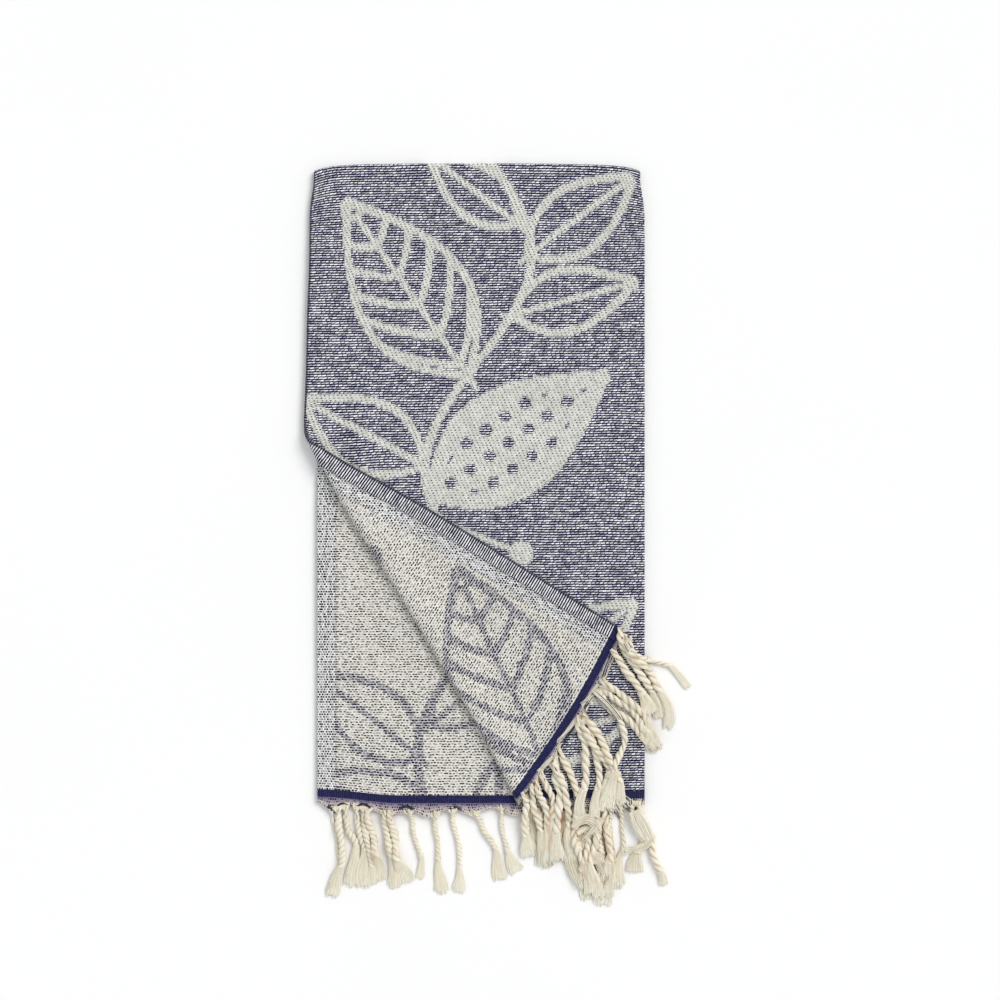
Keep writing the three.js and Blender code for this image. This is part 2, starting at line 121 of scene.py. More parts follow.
# %% A wire between nodes
class Wire:
    """A node's output in a material. Arithmetic on it adds Math nodes and gives a new wire."""

    def __init__(self, tree, socket):
        self.tree, self.socket = tree, socket

    def node(self, kind, settings=None, sockets=None, output=0):
        """Adds a node: its settings first, then the values or wires of its sockets."""
        new = self.tree.nodes.new(kind)
        for name, value in (settings or {}).items():
            setattr(new, name, value)
        for name, value in (sockets or {}).items():
            if isinstance(value, Wire):
                self.tree.links.new(value.socket, new.inputs[name])
            else:
                new.inputs[name].default_value = value
        return Wire(self.tree, new.outputs[output] if len(new.outputs) else None)

    def part(self, name):
        """Another output of the same node."""
        return Wire(self.tree, self.socket.node.outputs[name])

    def maths(self, operation, *values):
        return self.node("ShaderNodeMath", {"operation": operation}, dict(enumerate(values)))

    def __add__(self, other):
        return self.maths("ADD", self, other)

    __radd__ = __add__

    def __sub__(self, other):
        return self.maths("SUBTRACT", self, other)

    def __rsub__(self, other):
        return self.maths("SUBTRACT", other, self)

    def __mul__(self, other):
        return self.maths("MULTIPLY", self, other)

    __rmul__ = __mul__

    def __truediv__(self, other):
        return self.maths("DIVIDE", self, other)

    def __abs__(self):
        return self.maths("ABSOLUTE", self)

    def fract(self):
        return self.maths("FRACT", self)

    def floor(self):
        return self.maths("FLOOR", self)

    def sine(self):
        return self.maths("SINE", self)

    def most(self, other):
        return self.maths("MAXIMUM", self, other)

    def least(self, other):
        return self.maths("MINIMUM", self, other)

    def under(self, limit):
        """1 where this is less than the limit, otherwise 0."""
        return self.maths("LESS_THAN", self, limit)

    def blend(self, first, second):
        """The first colour where this is 0 and the second where it is 1."""
        return self.node("ShaderNodeMix", {"data_type": "RGBA"}, {0: self, 6: first, 7: second}, 2)


RELIEF, SHEEN_ROUGHNESS, GLOSS = 0.8, 0.5, 0.2


def finish(name, build):
    """A new material: build(start) gives its colour, its roughness, its height, the metres that a height
    of 1 stands for, and its sheen."""
    material = bpy.data.materials.new(name)
    material.use_nodes = True
    tree = material.node_tree
    tree.nodes.clear()
    start = Wire(tree, None)
    colour, roughness, height, depth, sheen = build(start)
    relief = start.node("ShaderNodeBump", {}, {"Height": height, "Distance": depth, "Strength": RELIEF})
    surface = start.node(
        "ShaderNodeBsdfPrincipled",
        {},
        {
            "Base Color": colour,
            "Roughness": roughness,
            "Normal": relief,
            "Sheen Weight": sheen,
            "Sheen Roughness": SHEEN_ROUGHNESS,
            "Specular IOR Level": GLOSS,
        },
    )
    start.node("ShaderNodeOutputMaterial", {}, {"Surface": surface})
    return material


def srgb(red, green, blue):
    """Linear colour of screen values from 0 to 255."""
    share = np.array([red, green, blue]) / 255
    linear = np.where(share <= 0.04045, share / 12.92, ((share + 0.055) / 1.055) ** 2.4)
    return (*map(float, linear), 1)


# %% [markdown]
# ## The table
#
# A plain pale table. Its faint mottling is too weak to see in the picture, and keeps the surface
# from being one flat colour.


# %% Table
def table_finish(start):
    """A pale colour that drifts by one part in a hundred over half a metre."""
    place = start.node("ShaderNodeTexCoord", output="Object")
    cloud = start.node("ShaderNodeTexNoise", {}, {"Vector": place, "Scale": 2.0})
    colour = cloud.blend(srgb(253, 253, 253), srgb(255, 255, 255))
    return colour, 0.9, cloud, 0.0001, 0.0


TABLE_HALF = 3.0


def table():
    """One square at height 0, twice TABLE_HALF metres wide."""
    mesh = bpy.data.meshes.new("table")
    corners = [(x * TABLE_HALF, y * TABLE_HALF, 0) for x, y in ((-1, -1), (1, -1), (1, 1), (-1, 1))]
    mesh.from_pydata(corners, [], [(0, 1, 2, 3)])
    mesh.materials.append(finish("pale table", table_finish))
    piece = bpy.data.objects.new("table", mesh)
    bpy.context.scene.collection.objects.link(piece)


table()

# %% [markdown]
# ## The folded cloth
#
# A folded towel is one sheet, so it is made as one sheet: a grid whose columns run across the
# towel and whose rows run along it. Each grid place is first put on the lengthwise fold, then
# carried over the fold across, and the front corner is rolled over its turning line. The CAD
# solid uses the same steps and the same sizes, so the fine cloth lies on the plain one.
#
# Columns are numbered by stretch: up to 2 the selvedge turned under, up to 6 its roll, up to 19
# the upper layer, up to 23 the right fold and up to 35 the under layer. Rows up to 22 are the
# front, up to 28 the fold at the top and up to 46 the back.

# %% Sizes of the folds
THICKNESS = 1.6
PITCH = 3.0
LEFT, RIGHT, TOP = -268, 202, 520
FRONT_HEM, BACK_HEM = -378, -305
UNDER_SELVEDGE = -253
MARGIN_END, ROLL_END, UPPER_END, FOLD_END, UNDER_END = 2, 6, 19, 23, 35
FOLD_MIDDLE = (UPPER_END + FOLD_END) / 2
BEND = PITCH / 2
ROLL_X, FOLD_X = -265.7, 199.7
STACK_MIDDLE, TOP_AXIS = 5.3, 514.7
UPPER_LEVEL = 9.8
TURN_TOP, TURN_FOOT = np.array([-253.9, 126.2]), np.array([16.7, -362.0])
TURN_RADIUS, TURN_SETTLE = 6.5, 55
TURN_ALONG = (TURN_FOOT - TURN_TOP) / np.linalg.norm(TURN_FOOT - TURN_TOP)
TURN_NORMAL = np.array([-TURN_ALONG[1], TURN_ALONG[0]])
TURN_ARC = math.pi * TURN_RADIUS
FRONT_ROWS, FOLD_ROWS, BACK_ROWS = 22, 6, 18
FRONT_ROW = (TOP_AXIS - FRONT_HEM) / FRONT_ROWS
BACK_ROW = (TOP_AXIS - BACK_HEM) / BACK_ROWS


def smooth(value):
    """0 below 0, 1 above 1, and 3v² - 2v³ between."""
    v = np.clip(value, 0, 1)
    return v * v * (3 - 2 * v)


def bump(value):
    """The bell exp(-v²)."""
    return np.exp(-value * value)


def calm(values, reach):
    """A running mean weighted by a bell, with the ends held."""
    bell = bump(np.linspace(-2, 2, 2 * reach + 1))
    return np.convolve(np.pad(values, reach, "edge"), bell / bell.sum(), "valid")


# %% Lengthwise fold and rolled selvedge
MARGIN_WIDE, MARGIN_LEAST = 17.5, 2
MARGIN_FROM, MARGIN_RUN = 300, 170


def turned_margin(level):
    """How much selvedge is turned under: wide along the front, and running out towards the top."""
    return MARGIN_LEAST + (MARGIN_WIDE - MARGIN_LEAST) * (1 - smooth((level - MARGIN_FROM) / MARGIN_RUN))


def section(column, offset, margin):
    """Place across and height of a column: turned selvedge, roll, upper layer, right fold, under layer."""
    roll = math.pi * np.clip((column - MARGIN_END) / (ROLL_END - MARGIN_END), 0, 1)
    fold = math.pi * np.clip((column - UPPER_END) / (FOLD_END - UPPER_END), 0, 1)
    radius = BEND + offset
    upper = (column - ROLL_END) / (UPPER_END - ROLL_END)
    under = (column - FOLD_END) / (UNDER_END - FOLD_END)
    parts = [column <= end for end in (MARGIN_END, ROLL_END, UPPER_END, FOLD_END)]
    across = np.select(
        parts,
        [
            ROLL_X + margin * (1 - column / MARGIN_END),
            ROLL_X - radius * np.sin(roll),
            ROLL_X + (FOLD_X - ROLL_X) * upper,
            FOLD_X + radius * np.sin(fold),
        ],
        FOLD_X + (UNDER_SELVEDGE - FOLD_X) * under,
    )
    height = np.select(
        parts,
        [
            -2 * BEND - offset,
            -BEND - radius * np.cos(roll),
            offset + 0 * column,
            -BEND + radius * np.cos(fold),
        ],
        -PITCH - offset,
    )
    return across, height


# %% The hem's line and the turned corner
CORNER_BOW = 9
UNDER_START, UNDER_SLOPE, UNDER_RUN, RIGHT_RUN = -2, 9, 115, 60


def hem_drop(column, x):
    """How far the hem hangs below its plain level: a bow in the turned corner, a slope underneath."""
    bow = CORNER_BOW * np.sin(math.pi * np.clip((x - LEFT) / (TURN_FOOT[0] - LEFT), 0, 1))
    slope = UNDER_START + UNDER_SLOPE * smooth((x - UNDER_SELVEDGE) / UNDER_RUN)
    return np.where(column < UPPER_END, bow, slope * smooth((RIGHT - x) / RIGHT_RUN))


def past_turn(x, y):
    """How far a place lies past the start of the roll, square to the turning line."""
    return (TURN_TOP[0] - x) * TURN_NORMAL[0] + (TURN_TOP[1] - y) * TURN_NORMAL[1] + TURN_RADIUS


def turn_back(x, y, height):
    """Rolls what lies past the turning line over a cylinder, and lays it down beyond the cylinder."""
    past = past_turn(x, y)
    reach = TURN_ARC - past
    lifted = 2 * TURN_RADIUS - height - (2 * TURN_RADIUS - PITCH) * smooth(-reach / TURN_SETTLE)
    angle = np.clip(past, 0, TURN_ARC) / TURN_RADIUS
    rolling = past < TURN_ARC
    reach = np.where(rolling, (TURN_RADIUS - height) * np.sin(angle), reach)
    lifted = np.where(rolling, TURN_RADIUS - (TURN_RADIUS - height) * np.cos(angle), lifted)
    turned = past > 0
    shift = np.where(turned, past - reach, 0)
    return x + TURN_NORMAL[0] * shift, y + TURN_NORMAL[1] * shift, np.where(turned, lifted, height)


SWAYS = [
    # place along the turning line, half width of the bell, millimetres of sway
    (70, 130, -9), (450, 110, 5),
]
SWAY_WIDE = 70


def sway(x, y):
    """Lets the turning line wander by a few millimetres on soft bells along it."""
    run = (x - TURN_TOP[0]) * TURN_ALONG[0] + (y - TURN_TOP[1]) * TURN_ALONG[1]
    away = (x - TURN_TOP[0]) * TURN_NORMAL[0] + (y - TURN_TOP[1]) * TURN_NORMAL[1]
    shift = sum(by * bump((run - at) / over) for at, over, by in SWAYS) * bump(away / SWAY_WIDE)
    return x + TURN_NORMAL[0] * shift, y + TURN_NORMAL[1] * shift


# %% From the grid to the folded place
TOP_FROM, TOP_RUN, DRAWN_IN, EDGE_BOW, CORNER_LOWERED = 380, 130, 6, 3, 8
BULGE, BULGE_AT, BULGE_RUN, BULGE_LEFT, BULGE_WIDE = 2, 340, 45, -150, 110
RIPPLES = [
    # height, and the millimetres across and along in which its phase grows by 1
    (1.1, 70, 160), (0.8, -190, 85),
]
RIPPLE_LEVEL = 12
TUCK, TUCK_FROM, TUCK_RUN = 18, 300, 150
DROP_RUN = 160
PULLED_UPPER, PULLED_UNDER = 6.0, 10.5
MARGIN_LIFTS, RAISED_TO, RAISED_RUN = 8, 25, 40


def settle(x, y, z):
    """Draws the top corners in, bows the top edge and lets the cloth lie in faint ripples."""
    across = (2 * x - LEFT - RIGHT) / (RIGHT - LEFT)
    upper = smooth((y - TOP_FROM) / TOP_RUN)
    bulge = BULGE * np.tanh((y - BULGE_AT) / BULGE_RUN) * smooth((BULGE_LEFT - x) / BULGE_WIDE)
    drawn = DRAWN_IN * upper**6 * across**9
    lowered = upper * (EDGE_BOW * across**2 + CORNER_LOWERED * across**10)
    ripple = sum(high * np.sin(x / wide + y / long) for high, wide, long in RIPPLES)
    raised = z + ripple * np.clip(z / RIPPLE_LEVEL, 0, 1)
    return np.stack([x + bulge - drawn - MIDDLE[0], y - lowered - MIDDLE[1], raised], -1)


def fold_cloth(column, row, offset, pull=0):
    """Millimetres in the model's frame of a grid place: on the front, over the top fold or on the back."""
    on_front = row <= FRONT_ROWS
    level = np.where(on_front, FRONT_HEM + FRONT_ROW * row, TOP)
    margin = turned_margin(level)
    x, height = section(column, offset, margin)

    angle = math.pi * np.clip((row - FRONT_ROWS) / FOLD_ROWS, 0, 1)
    radius = 1.5 * PITCH + height
    folded = (x, TOP_AXIS + radius * np.sin(angle), STACK_MIDDLE + radius * np.cos(angle))

    back_y = TOP_AXIS - BACK_ROW * (row - FRONT_ROWS - FOLD_ROWS)
    tuck = TUCK * smooth((TUCK_FROM - back_y) / TUCK_RUN) * ((FOLD_X - x) / (FOLD_X - LEFT)) ** 2
    behind = (x + tuck, back_y, STACK_MIDDLE - 1.5 * PITCH - height)

    drop = hem_drop(column, x) * (1 - smooth((level - FRONT_HEM) / DROP_RUN))
    pulled = np.where(column < FOLD_MIDDLE, PULLED_UPPER, PULLED_UNDER)
    y = level - drop - pull * np.clip((FRONT_HEM + pulled - level) / pulled, 0, 1)
    upper = column <= UPPER_END
    share = smooth((margin - MARGIN_LEAST) / MARGIN_LIFTS)
    raised = PITCH * share * (1 - smooth((x - ROLL_X - RAISED_TO) / RAISED_RUN))
    lift = height + raised * (1 - smooth(past_turn(x, y) / TURN_ARC))
    turned_x, turned_y, turned_height = turn_back(x, y, lift)
    turned_x, turned_y = sway(turned_x, turned_y)
    front = (
        np.where(upper, turned_x, x),
        np.where(upper, turned_y, y),
        UPPER_LEVEL + np.where(upper, turned_height, height),
    )
    over = (row > FRONT_ROWS) & (row < FRONT_ROWS + FOLD_ROWS)
    place = [np.select([on_front, over], [f, o], b) for f, o, b in zip(front, folded, behind)]
    return settle(*place)


# %% [markdown]
# The hem isn't straight. The threads of each cord pull a small lobe of cloth down, and the cloth
# draws back between them. Two tables give that, one for the under layer and one for
# the upper layer, as places across and millimetres of pull.

# %% Lobes of the hem
UNDER_LOBES = [
    (-250, -5), (-243, 4), (-232, 9), (-226, 2), (-215, -3), (-196, -3), (-180, 0), (-161, 5), (-140, 4),
    (-120, 0), (-102, 10), (-87, 4), (-70, 0), (-58, -2), (-44, 6), (-36, 5), (-24, 0), (-8, -4),
    (4, -2), (13, 5), (24, 8), (34, 5), (50, 0), (80, 3), (110, 0), (140, 3), (170, 0), (200, -2),
]
UPPER_LOBES = [
    (-268, -6), (-261, 3), (-250, -5), (-233, 3), (-212, -7), (-190, 5), (-160, -8), (-129, 6), (-95, -8),
    (-60, 6), (-38, -6), (-13, 4), (0, -5), (12, 3), (30, -4), (60, 2), (90, -5), (120, 2), (150, -8),
    (175, -9), (200, -8),
]
LOBE_PLACES, LOBE_REACH, UPPER_SHARE = 500, 7, 0.6


def lobes(column, x):
    """Pull of the hem at a place across, joined smoothly between the tables' places."""
    def along(table):
        at, pull = np.array(table, float).T
        fine = np.linspace(at[0], at[-1], LOBE_PLACES)
        return np.interp(x, fine, calm(np.interp(fine, at, pull), LOBE_REACH))
    return np.where(column < FOLD_MIDDLE, along(UPPER_LOBES) * UPPER_SHARE, along(UNDER_LOBES))


# %% [markdown]
# The grid is fine where the cloth bends and coarse where it lies flat. A second map on the mesh
# keeps each place's measure on the flat cloth: U runs across from the right fold, and V along it
# from the top fold, both in millimetres. The weave reads that map, so it turns with the folds.

# %% Grid of the cloth
HEM_DEEP, PAST_TOP = 24, 898
FOLD_LAST = FRONT_ROWS + FOLD_ROWS
columns = np.unique(np.concatenate([
    np.linspace(0, MARGIN_END, 6), np.linspace(MARGIN_END, ROLL_END, 9), np.linspace(ROLL_END, UPPER_END, 85),
    np.linspace(UPPER_END, FOLD_END, 9), np.linspace(FOLD_END, UNDER_END, 79),
]))
near_hem, past_hem = np.linspace(0, HEM_DEEP, 13), np.linspace(HEM_DEEP, PAST_TOP, 152)[1:]
front_rows = np.concatenate([near_hem, past_hem]) / FRONT_ROW
rows = np.concatenate([
    front_rows[front_rows < FRONT_ROWS], [FRONT_ROWS],
    np.linspace(FRONT_ROWS, FOLD_LAST, 13)[1:], np.linspace(FOLD_LAST, FOLD_LAST + BACK_ROWS, 64)[1:],
])


def flat_measure(column, row, margin):
    """U and V of a grid place on the flat cloth: lengths along the section and along the towel."""
    bend = BEND * math.pi / 2
    upper = FOLD_X - ROLL_X
    u = np.select(
        [column <= end for end in (MARGIN_END, ROLL_END, UPPER_END, FOLD_END)],
        [
            bend + upper + BEND * math.pi + margin * (1 - column / MARGIN_END),
            bend + upper + BEND * math.pi * (ROLL_END - column) / (ROLL_END - MARGIN_END),
            bend + upper * (UPPER_END - column) / (UPPER_END - ROLL_END),
            bend * (FOLD_MIDDLE - column) / (FOLD_END - FOLD_MIDDLE),
        ],
        -bend - (FOLD_X - UNDER_SELVEDGE) * (column - FOLD_END) / (UNDER_END - FOLD_END),
    )
    level = FRONT_HEM + FRONT_ROW * row
    half_fold = math.pi * 1.5 * PITCH / 2
    v = np.select(
        [row <= FRONT_ROWS, row <= FRONT_ROWS + FOLD_ROWS],
        [TOP_AXIS - level + half_fold, half_fold * (1 - (row - FRONT_ROWS) / (FOLD_ROWS / 2))],
        -half_fold - BACK_ROW * (row - FRONT_ROWS - FOLD_ROWS),
    )
    return u, v


column_grid, row_grid = np.meshgrid(columns, rows)
level_grid = np.where(row_grid <= FRONT_ROWS, FRONT_HEM + FRONT_ROW * row_grid, TOP)
margin_grid = turned_margin(level_grid)
across_grid, _ = section(column_grid, 0, margin_grid)
pull_grid = lobes(column_grid, across_grid)
flat_u, flat_v = flat_measure(column_grid, row_grid, margin_grid)
outer = fold_cloth(column_grid, row_grid, THICKNESS / 2, pull_grid)
inner = fold_cloth(column_grid, row_grid, -THICKNESS / 2, pull_grid)
flat_box = [[float(edge(measure).round(1)) for measure in (flat_u, flat_v)] for edge in (np.min, np.max)]
print("cloth grid:", column_grid.shape, "flat from and to, in millimetres:", flat_box)


# %% Cloth mesh
def cloth_mesh(name):
    """Both sides of the sheet as one closed skin: face, reverse turned over, and a strip round the rim."""
    high, wide = column_grid.shape
    index = np.arange(high * wide).reshape(high, wide)
    a, b, c, d = index[:-1, :-1], index[:-1, 1:], index[1:, 1:], index[1:, :-1]
    face = np.stack([a, b, c, d], -1).reshape(-1, 4)
    reverse = face[:, ::-1] + high * wide
    rim = np.concatenate([index[0, :], index[1:, -1], index[-1, -2::-1], index[-2:0:-1, 0]])
    after = np.roll(rim, -1)
    edge = np.stack([after, rim, rim + high * wide, after + high * wide], -1)
    quads = np.concatenate([face, reverse, edge])
    points = np.concatenate([outer.reshape(-1, 3), inner.reshape(-1, 3)]) / 1000
    mesh = bpy.data.meshes.new(name)
    mesh.from_pydata(points.tolist(), [], quads.tolist())
    kinds = np.concatenate([np.zeros(len(face)), np.ones(len(reverse)), np.ones(len(edge))])
    mesh.polygons.foreach_set("material_index", kinds.astype(np.int32))
    mesh.polygons.foreach_set("use_smooth", np.ones(len(quads), bool))
    flat = np.stack([flat_u.ravel(), flat_v.ravel()], -1)
    flat = np.concatenate([flat, flat])
    layer = mesh.uv_layers.new(name="flat_cloth")
    layer.data.foreach_set("uv", flat[quads.ravel()].ravel().astype(np.float32))
    mesh.set_sharp_from_angle(angle=math.radians(50))
    mesh.update()
    return mesh


towel = bpy.data.objects.new("towel_cloth", cloth_mesh("towel_cloth"))
bpy.context.scene.collection.objects.link(towel)
print("cloth quads:", len(towel.data.polygons))

# %% [markdown]
# ## The woven figure
#
# The cloth has a large figure of leaves on a winding stem. The same figure shows on both sides
# with its colours changed over, because the two cloths trade places. It is drawn as shapes on
# the flat cloth: a leaf is the room between two arcs, and a stem is a line along a sine wave.
# The leaves here are a plain vine of the lesson's own, in one repeat of 476 by 600 mm.
#
# A loom can't draw a smooth line. It steps by whole threads, so the figure is asked for only at
# the middle of each small cell of the weave.

# %% Figure
REPEAT_ACROSS, REPEAT_ALONG = 476.0, 600.0
START_ALONG, COLUMN_SHIFT = 0.127, 0.84
LINE = 5.4
LEAVES = [
    # centre across, centre along, turn in degrees, length, width, kind
    (-95, 103, 125, 300, 150, "ribbed"),
    (62, -104, 35, 300, 140, "dotted"),
    (-152, -98, 150, 190, 92, "plain"),
    (150, 205, 38, 190, 88, "plain"),
    (140, 88, 15, 180, 84, "plain"),
    (-2, 240, 142, 160, 70, "plain"),
]
STALKS = [
    # from across, from along, to across, to along
    (-24, -262, -104, -222), (-24, -262, -118, -268), (-44, -226, 52, -262),
]
BERRIES = [
    # centre across, centre along, radius
    (-118, -215, 17), (-134, -268, 17), (66, -267, 17),
]
STEM_SWING = 74
DOT_PITCH, DOT_RADIUS, RIB_PITCH = 33.0, 8.5, 50.0


def leaf(x, y, centre_x, centre_y, turn, length, width, kind):
    """1 on a leaf's drawn lines. Its half width is (1 - s²)(1 - 0.35 s) at share s of its half length."""
    cosine, sine = math.cos(math.radians(turn)), math.sin(math.radians(turn))
    along = (x - centre_x) * cosine + (y - centre_y) * sine
    across = abs((y - centre_y) * cosine - (x - centre_x) * sine)
    share = along * (2 / length)
    square = share * share
    half = (1 - square) * (1 - share * 0.35) * (width / 2)
    room = (across - half).under(0) * (abs(share) - 1).under(0)
    edge = (abs(across - half) - LINE * (1 + 0.45 * square)).under(0) * (abs(share) - 1.02).under(0)
    rib = (across - LINE * 0.75).under(0) * (abs(share + 0.16) - 1).under(0)
    if kind == "plain":
        return edge.most(rib)
    if kind == "dotted":
        lane = (across / DOT_PITCH + 0.5).floor()
        dot_x = ((along + lane * (DOT_PITCH / 2)) / DOT_PITCH).fract() * DOT_PITCH - DOT_PITCH / 2
        dot_y = across - lane * DOT_PITCH
        dots = (dot_x * dot_x + dot_y * dot_y - DOT_RADIUS**2).under(0) * (across - half + 20).under(0)
        return (room * (1 - dots)).most(edge)
    wave = ((along - across * 0.55 - across * across * 0.007) / RIB_PITCH + 0.1).fract() - 0.5
    side = (abs(wave) * RIB_PITCH - LINE * (1 + across / 90)).under(0) * room
    return edge.most(rib).most(side)


def stalk(x, y, from_x, from_y, to_x, to_y):
    """1 near a straight line: the place's share along the line is held between 0 and 1."""
    run_x, run_y = to_x - from_x, to_y - from_y
    share = ((x - from_x) * run_x + (y - from_y) * run_y) / (run_x**2 + run_y**2)
    share = share.most(0).least(1)
    off_x, off_y = x - from_x - share * run_x, y - from_y - share * run_y
    return (off_x * off_x + off_y * off_y - (0.75 * LINE) ** 2).under(0)


def figure(x, y):
    """1 on the figure's lines: a stem on a sine wave, leaves and berries, moved along in odd columns."""
    column = (x / REPEAT_ACROSS).floor()
    odd = 1 - ((column / 2).fract() - 0.25).under(0)
    inside_x = (x / REPEAT_ACROSS).fract() * REPEAT_ACROSS - REPEAT_ACROSS / 2
    inside_y = (y / REPEAT_ALONG + odd * COLUMN_SHIFT + START_ALONG).fract() * REPEAT_ALONG - REPEAT_ALONG / 2
    bend = (inside_y * (2 * math.pi / REPEAT_ALONG)).sine() * STEM_SWING
    found = (abs(inside_x - bend - 6) - LINE * 1.15).under(0)
    for row in LEAVES:
        found = found.most(leaf(inside_x, inside_y, *row))
    for row in STALKS:
        found = found.most(stalk(inside_x, inside_y, *row))
    for centre_x, centre_y, radius in BERRIES:
        off_x, off_y = inside_x - centre_x, inside_y - centre_y
        found = found.most((off_x * off_x + off_y * off_y - radius**2).under(0))
    return found


# %% [markdown]
# ## The weave
#
# Rows lie 3.5 mm apart along the towel. On the navy face a dark row of warp alternates with a
# row of pale dashes, and the figure is cream with a few weak specks. On the cream reverse the
# specks are dark and stand like bricks, and the figure is where they crowd together. A band of
# navy is woven near each end, and a narrow check band runs along each selvedge.

# %% Weave measures and colours
ROW = 3.5
CELL = 3.0
DASH = 5.8
SPECK = 4.4
CHECK = 3.6
END_FRONT, END_BACK = 899.8, -826.8
BAND_WIDE, LOOSE_FLAP, LOOSE_MORE, FLAP_FROM = 10.4, 6.0, 5.5, 190.0
CHECK_UPPER, CHECK_UNDER = 430.5, -429.6
# Where the selvedge's roll begins on the face, and the width of the navy strip over it, partly painted shade.
SELVEDGE, ROLL_NAVY_AND_SHADE_WIDE = 467.0, 6.5
NAVY = srgb(5, 5, 48)
HEATHER = srgb(110, 108, 148)
PALE = srgb(254, 254, 255)
CREAM = srgb(222, 222, 215)
CREAM_BACK = srgb(232, 229, 221)
GREY_SPECK = srgb(22, 20, 28)
DARK_SPECK = srgb(10, 10, 44)
WEAK_SPECK = srgb(74, 72, 70)
LILAC = srgb(210, 208, 209)
MARGIN_CREAM = srgb(216, 206, 197)
MARGIN_PURPLE = srgb(108, 98, 138)
LOOSE_ROW, LOOSE_CELL = 2.6, 3.2
BAND_ROW, BAND_RIB = 2.4, 2.9
CHECK_PALE = srgb(250, 250, 251)
CHECK_DARK = srgb(8, 8, 14)
BAND_NAVY = srgb(46, 47, 96)
BAND_NIGHT = srgb(10, 12, 52)


def flat_places(start):
    """U and V on the flat cloth, in millimetres, as two wires."""
    place = start.node("ShaderNodeUVMap", {"uv_map": "flat_cloth"})
    split = start.node("ShaderNodeSeparateXYZ", {}, {"Vector": place})
    return split, split.part("Y")


def within(value, half):
    """1 where a wire lies within half of 0, on either side."""
    return (abs(value) - half).under(0)


def woven_cell(start, across, row):
    """Place across in a cell of the weave, from -0.5 to 0.5, and three random shares of that cell."""
    column = across.floor()
    place = start.node("ShaderNodeCombineXYZ", {}, {"X": column, "Y": row})
    chances = start.node("ShaderNodeTexWhiteNoise", {"noise_dimensions": "2D"}, {"Vector": place}, "Color")
    split = start.node("ShaderNodeSeparateColor", {}, {"Color": chances}, "Red")
    return across - column - 0.5, split, split.part("Green"), split.part("Blue")


def woven_figure(u, row):
    """The figure at the middle of each cell of the weave."""
    return figure(((0 - u) / CELL).floor() * CELL + CELL / 2, (0 - row) * ROW - ROW / 2)


def cloud(start, x, y, detail=1.0):
    """Soft noise over two wires."""
    place = start.node("ShaderNodeCombineXYZ", {}, {"X": x, "Y": y})
    sockets = {"Vector": place, "Scale": 1.0, "Detail": detail}
    return start.node("ShaderNodeTexNoise", {"noise_dimensions": "2D"}, sockets)


def toned(start, colour, tone):
    """A colour times a plain share."""
    shade = start.node("ShaderNodeCombineXYZ", {}, {"X": tone, "Y": tone, "Z": tone})
    return start.node("ShaderNodeVectorMath", {"operation": "MULTIPLY"}, {0: colour, 1: shade})


def end_colours(start, u, v, colour):
    """Lays the navy end band over a colour, and past it a loose margin whose navy specks thin out."""
    to_end = (END_FRONT - v).least(v - END_BACK)
    wide = u.under(FLAP_FROM) * LOOSE_MORE + LOOSE_FLAP
    band = within(to_end - wide - BAND_WIDE / 2, BAND_WIDE / 2)
    rib, first, second, _ = woven_cell(start, u / BAND_RIB, (v / BAND_ROW).floor())
    navy = (within(rib, 0.22 + first * 0.12) * (second * 0.6 + 0.4)).blend(BAND_NIGHT, BAND_NAVY)
    colour = band.blend(colour, navy)
    left = (to_end / wide).least(1).most(0)
    level = v / LOOSE_ROW
    fleck, first, second, _ = woven_cell(start, u / LOOSE_CELL + level.floor() * 0.5, level.floor())
    flecked = within(fleck - first * 0.3 + 0.15, 0.34) * within(level.fract() - 0.5, 0.32)
    flecked = flecked * (second * (left * 0.8 + 1.0)).least(1)
    margin = (left * 1.5 - 0.4).most(0).least(1).blend(MARGIN_CREAM, MARGIN_PURPLE)
    return (to_end - wide).under(0).blend(colour, flecked.blend(margin, DARK_SPECK))


# %% Navy face
def face_finish(start):
    """Dark rows and beaded pale rows, cream with small specks in the figure, bold stripes on the selvedge,
    and over the selvedge's roll a navy strip, partly the face's own navy and partly painted shade.
    """
    u, v = flat_places(start)
    waved = v + cloud(start, u * 0.012, v * 0.016) * 3.0
    row, rise = (waved / ROW).floor(), (waved / ROW).fract()
    drawn = woven_figure(u, row)
    heather = cloud(start, u * 0.045, row * 3.7, 3.0)
    bead, first, second, third = woven_cell(start, u / DASH + row * 0.29 + (row * 0.618).fract() * 0.4, row)
    lean = rise - 0.5 - bead * 0.17 - (first - 0.5) * 0.1
    pale_row = within(lean, heather * 0.22 + second * 0.1 + 0.04)
    bright = within(bead - (third - 0.5) * 0.2, first * 0.2 + 0.3) * (second * 0.6 + 0.5).least(1)
    field = pale_row.blend(NAVY, bright.blend(HEATHER, PALE))
    dot, one, two, three = woven_cell(start, u / DASH + row * 0.27, row)
    speck = within(dot - one * 0.2 + 0.1, 0.2) * within(rise - 0.45 - two * 0.1, 0.25) * (three * 0.6 + 0.4)
    cream = speck.blend(CREAM, WEAK_SPECK)
    colour = drawn.blend(field, cream)
    stripe = within(rise - 0.5, heather * 0.1 + second * 0.12 + 0.07)
    bold = stripe.blend(NAVY, CHECK_PALE)
    # Over the roll the stripes give way to navy: partly the face's navy rows, partly painted shade of the
    # curl.
    bold = (u.under(SELVEDGE + ROLL_NAVY_AND_SHADE_WIDE) * 0.8).blend(bold, NAVY)
    colour = (1 - u.under(SELVEDGE)).blend(colour, bold)
    colour = end_colours(start, u, v, colour)
    broad = cloud(start, u * 0.012, v * 0.02)
    fine = cloud(start, u * 0.9, v * 0.5, 2.0)
    tone = third * 0.26 + broad * 0.14 + fine * 0.16 + 0.72
    height = pale_row * 0.6 + (1 - abs(rise - 0.5) * 2) * 0.5
    return toned(start, colour, tone), 0.85 - fine * 0.1, height, 0.0008, 0.2


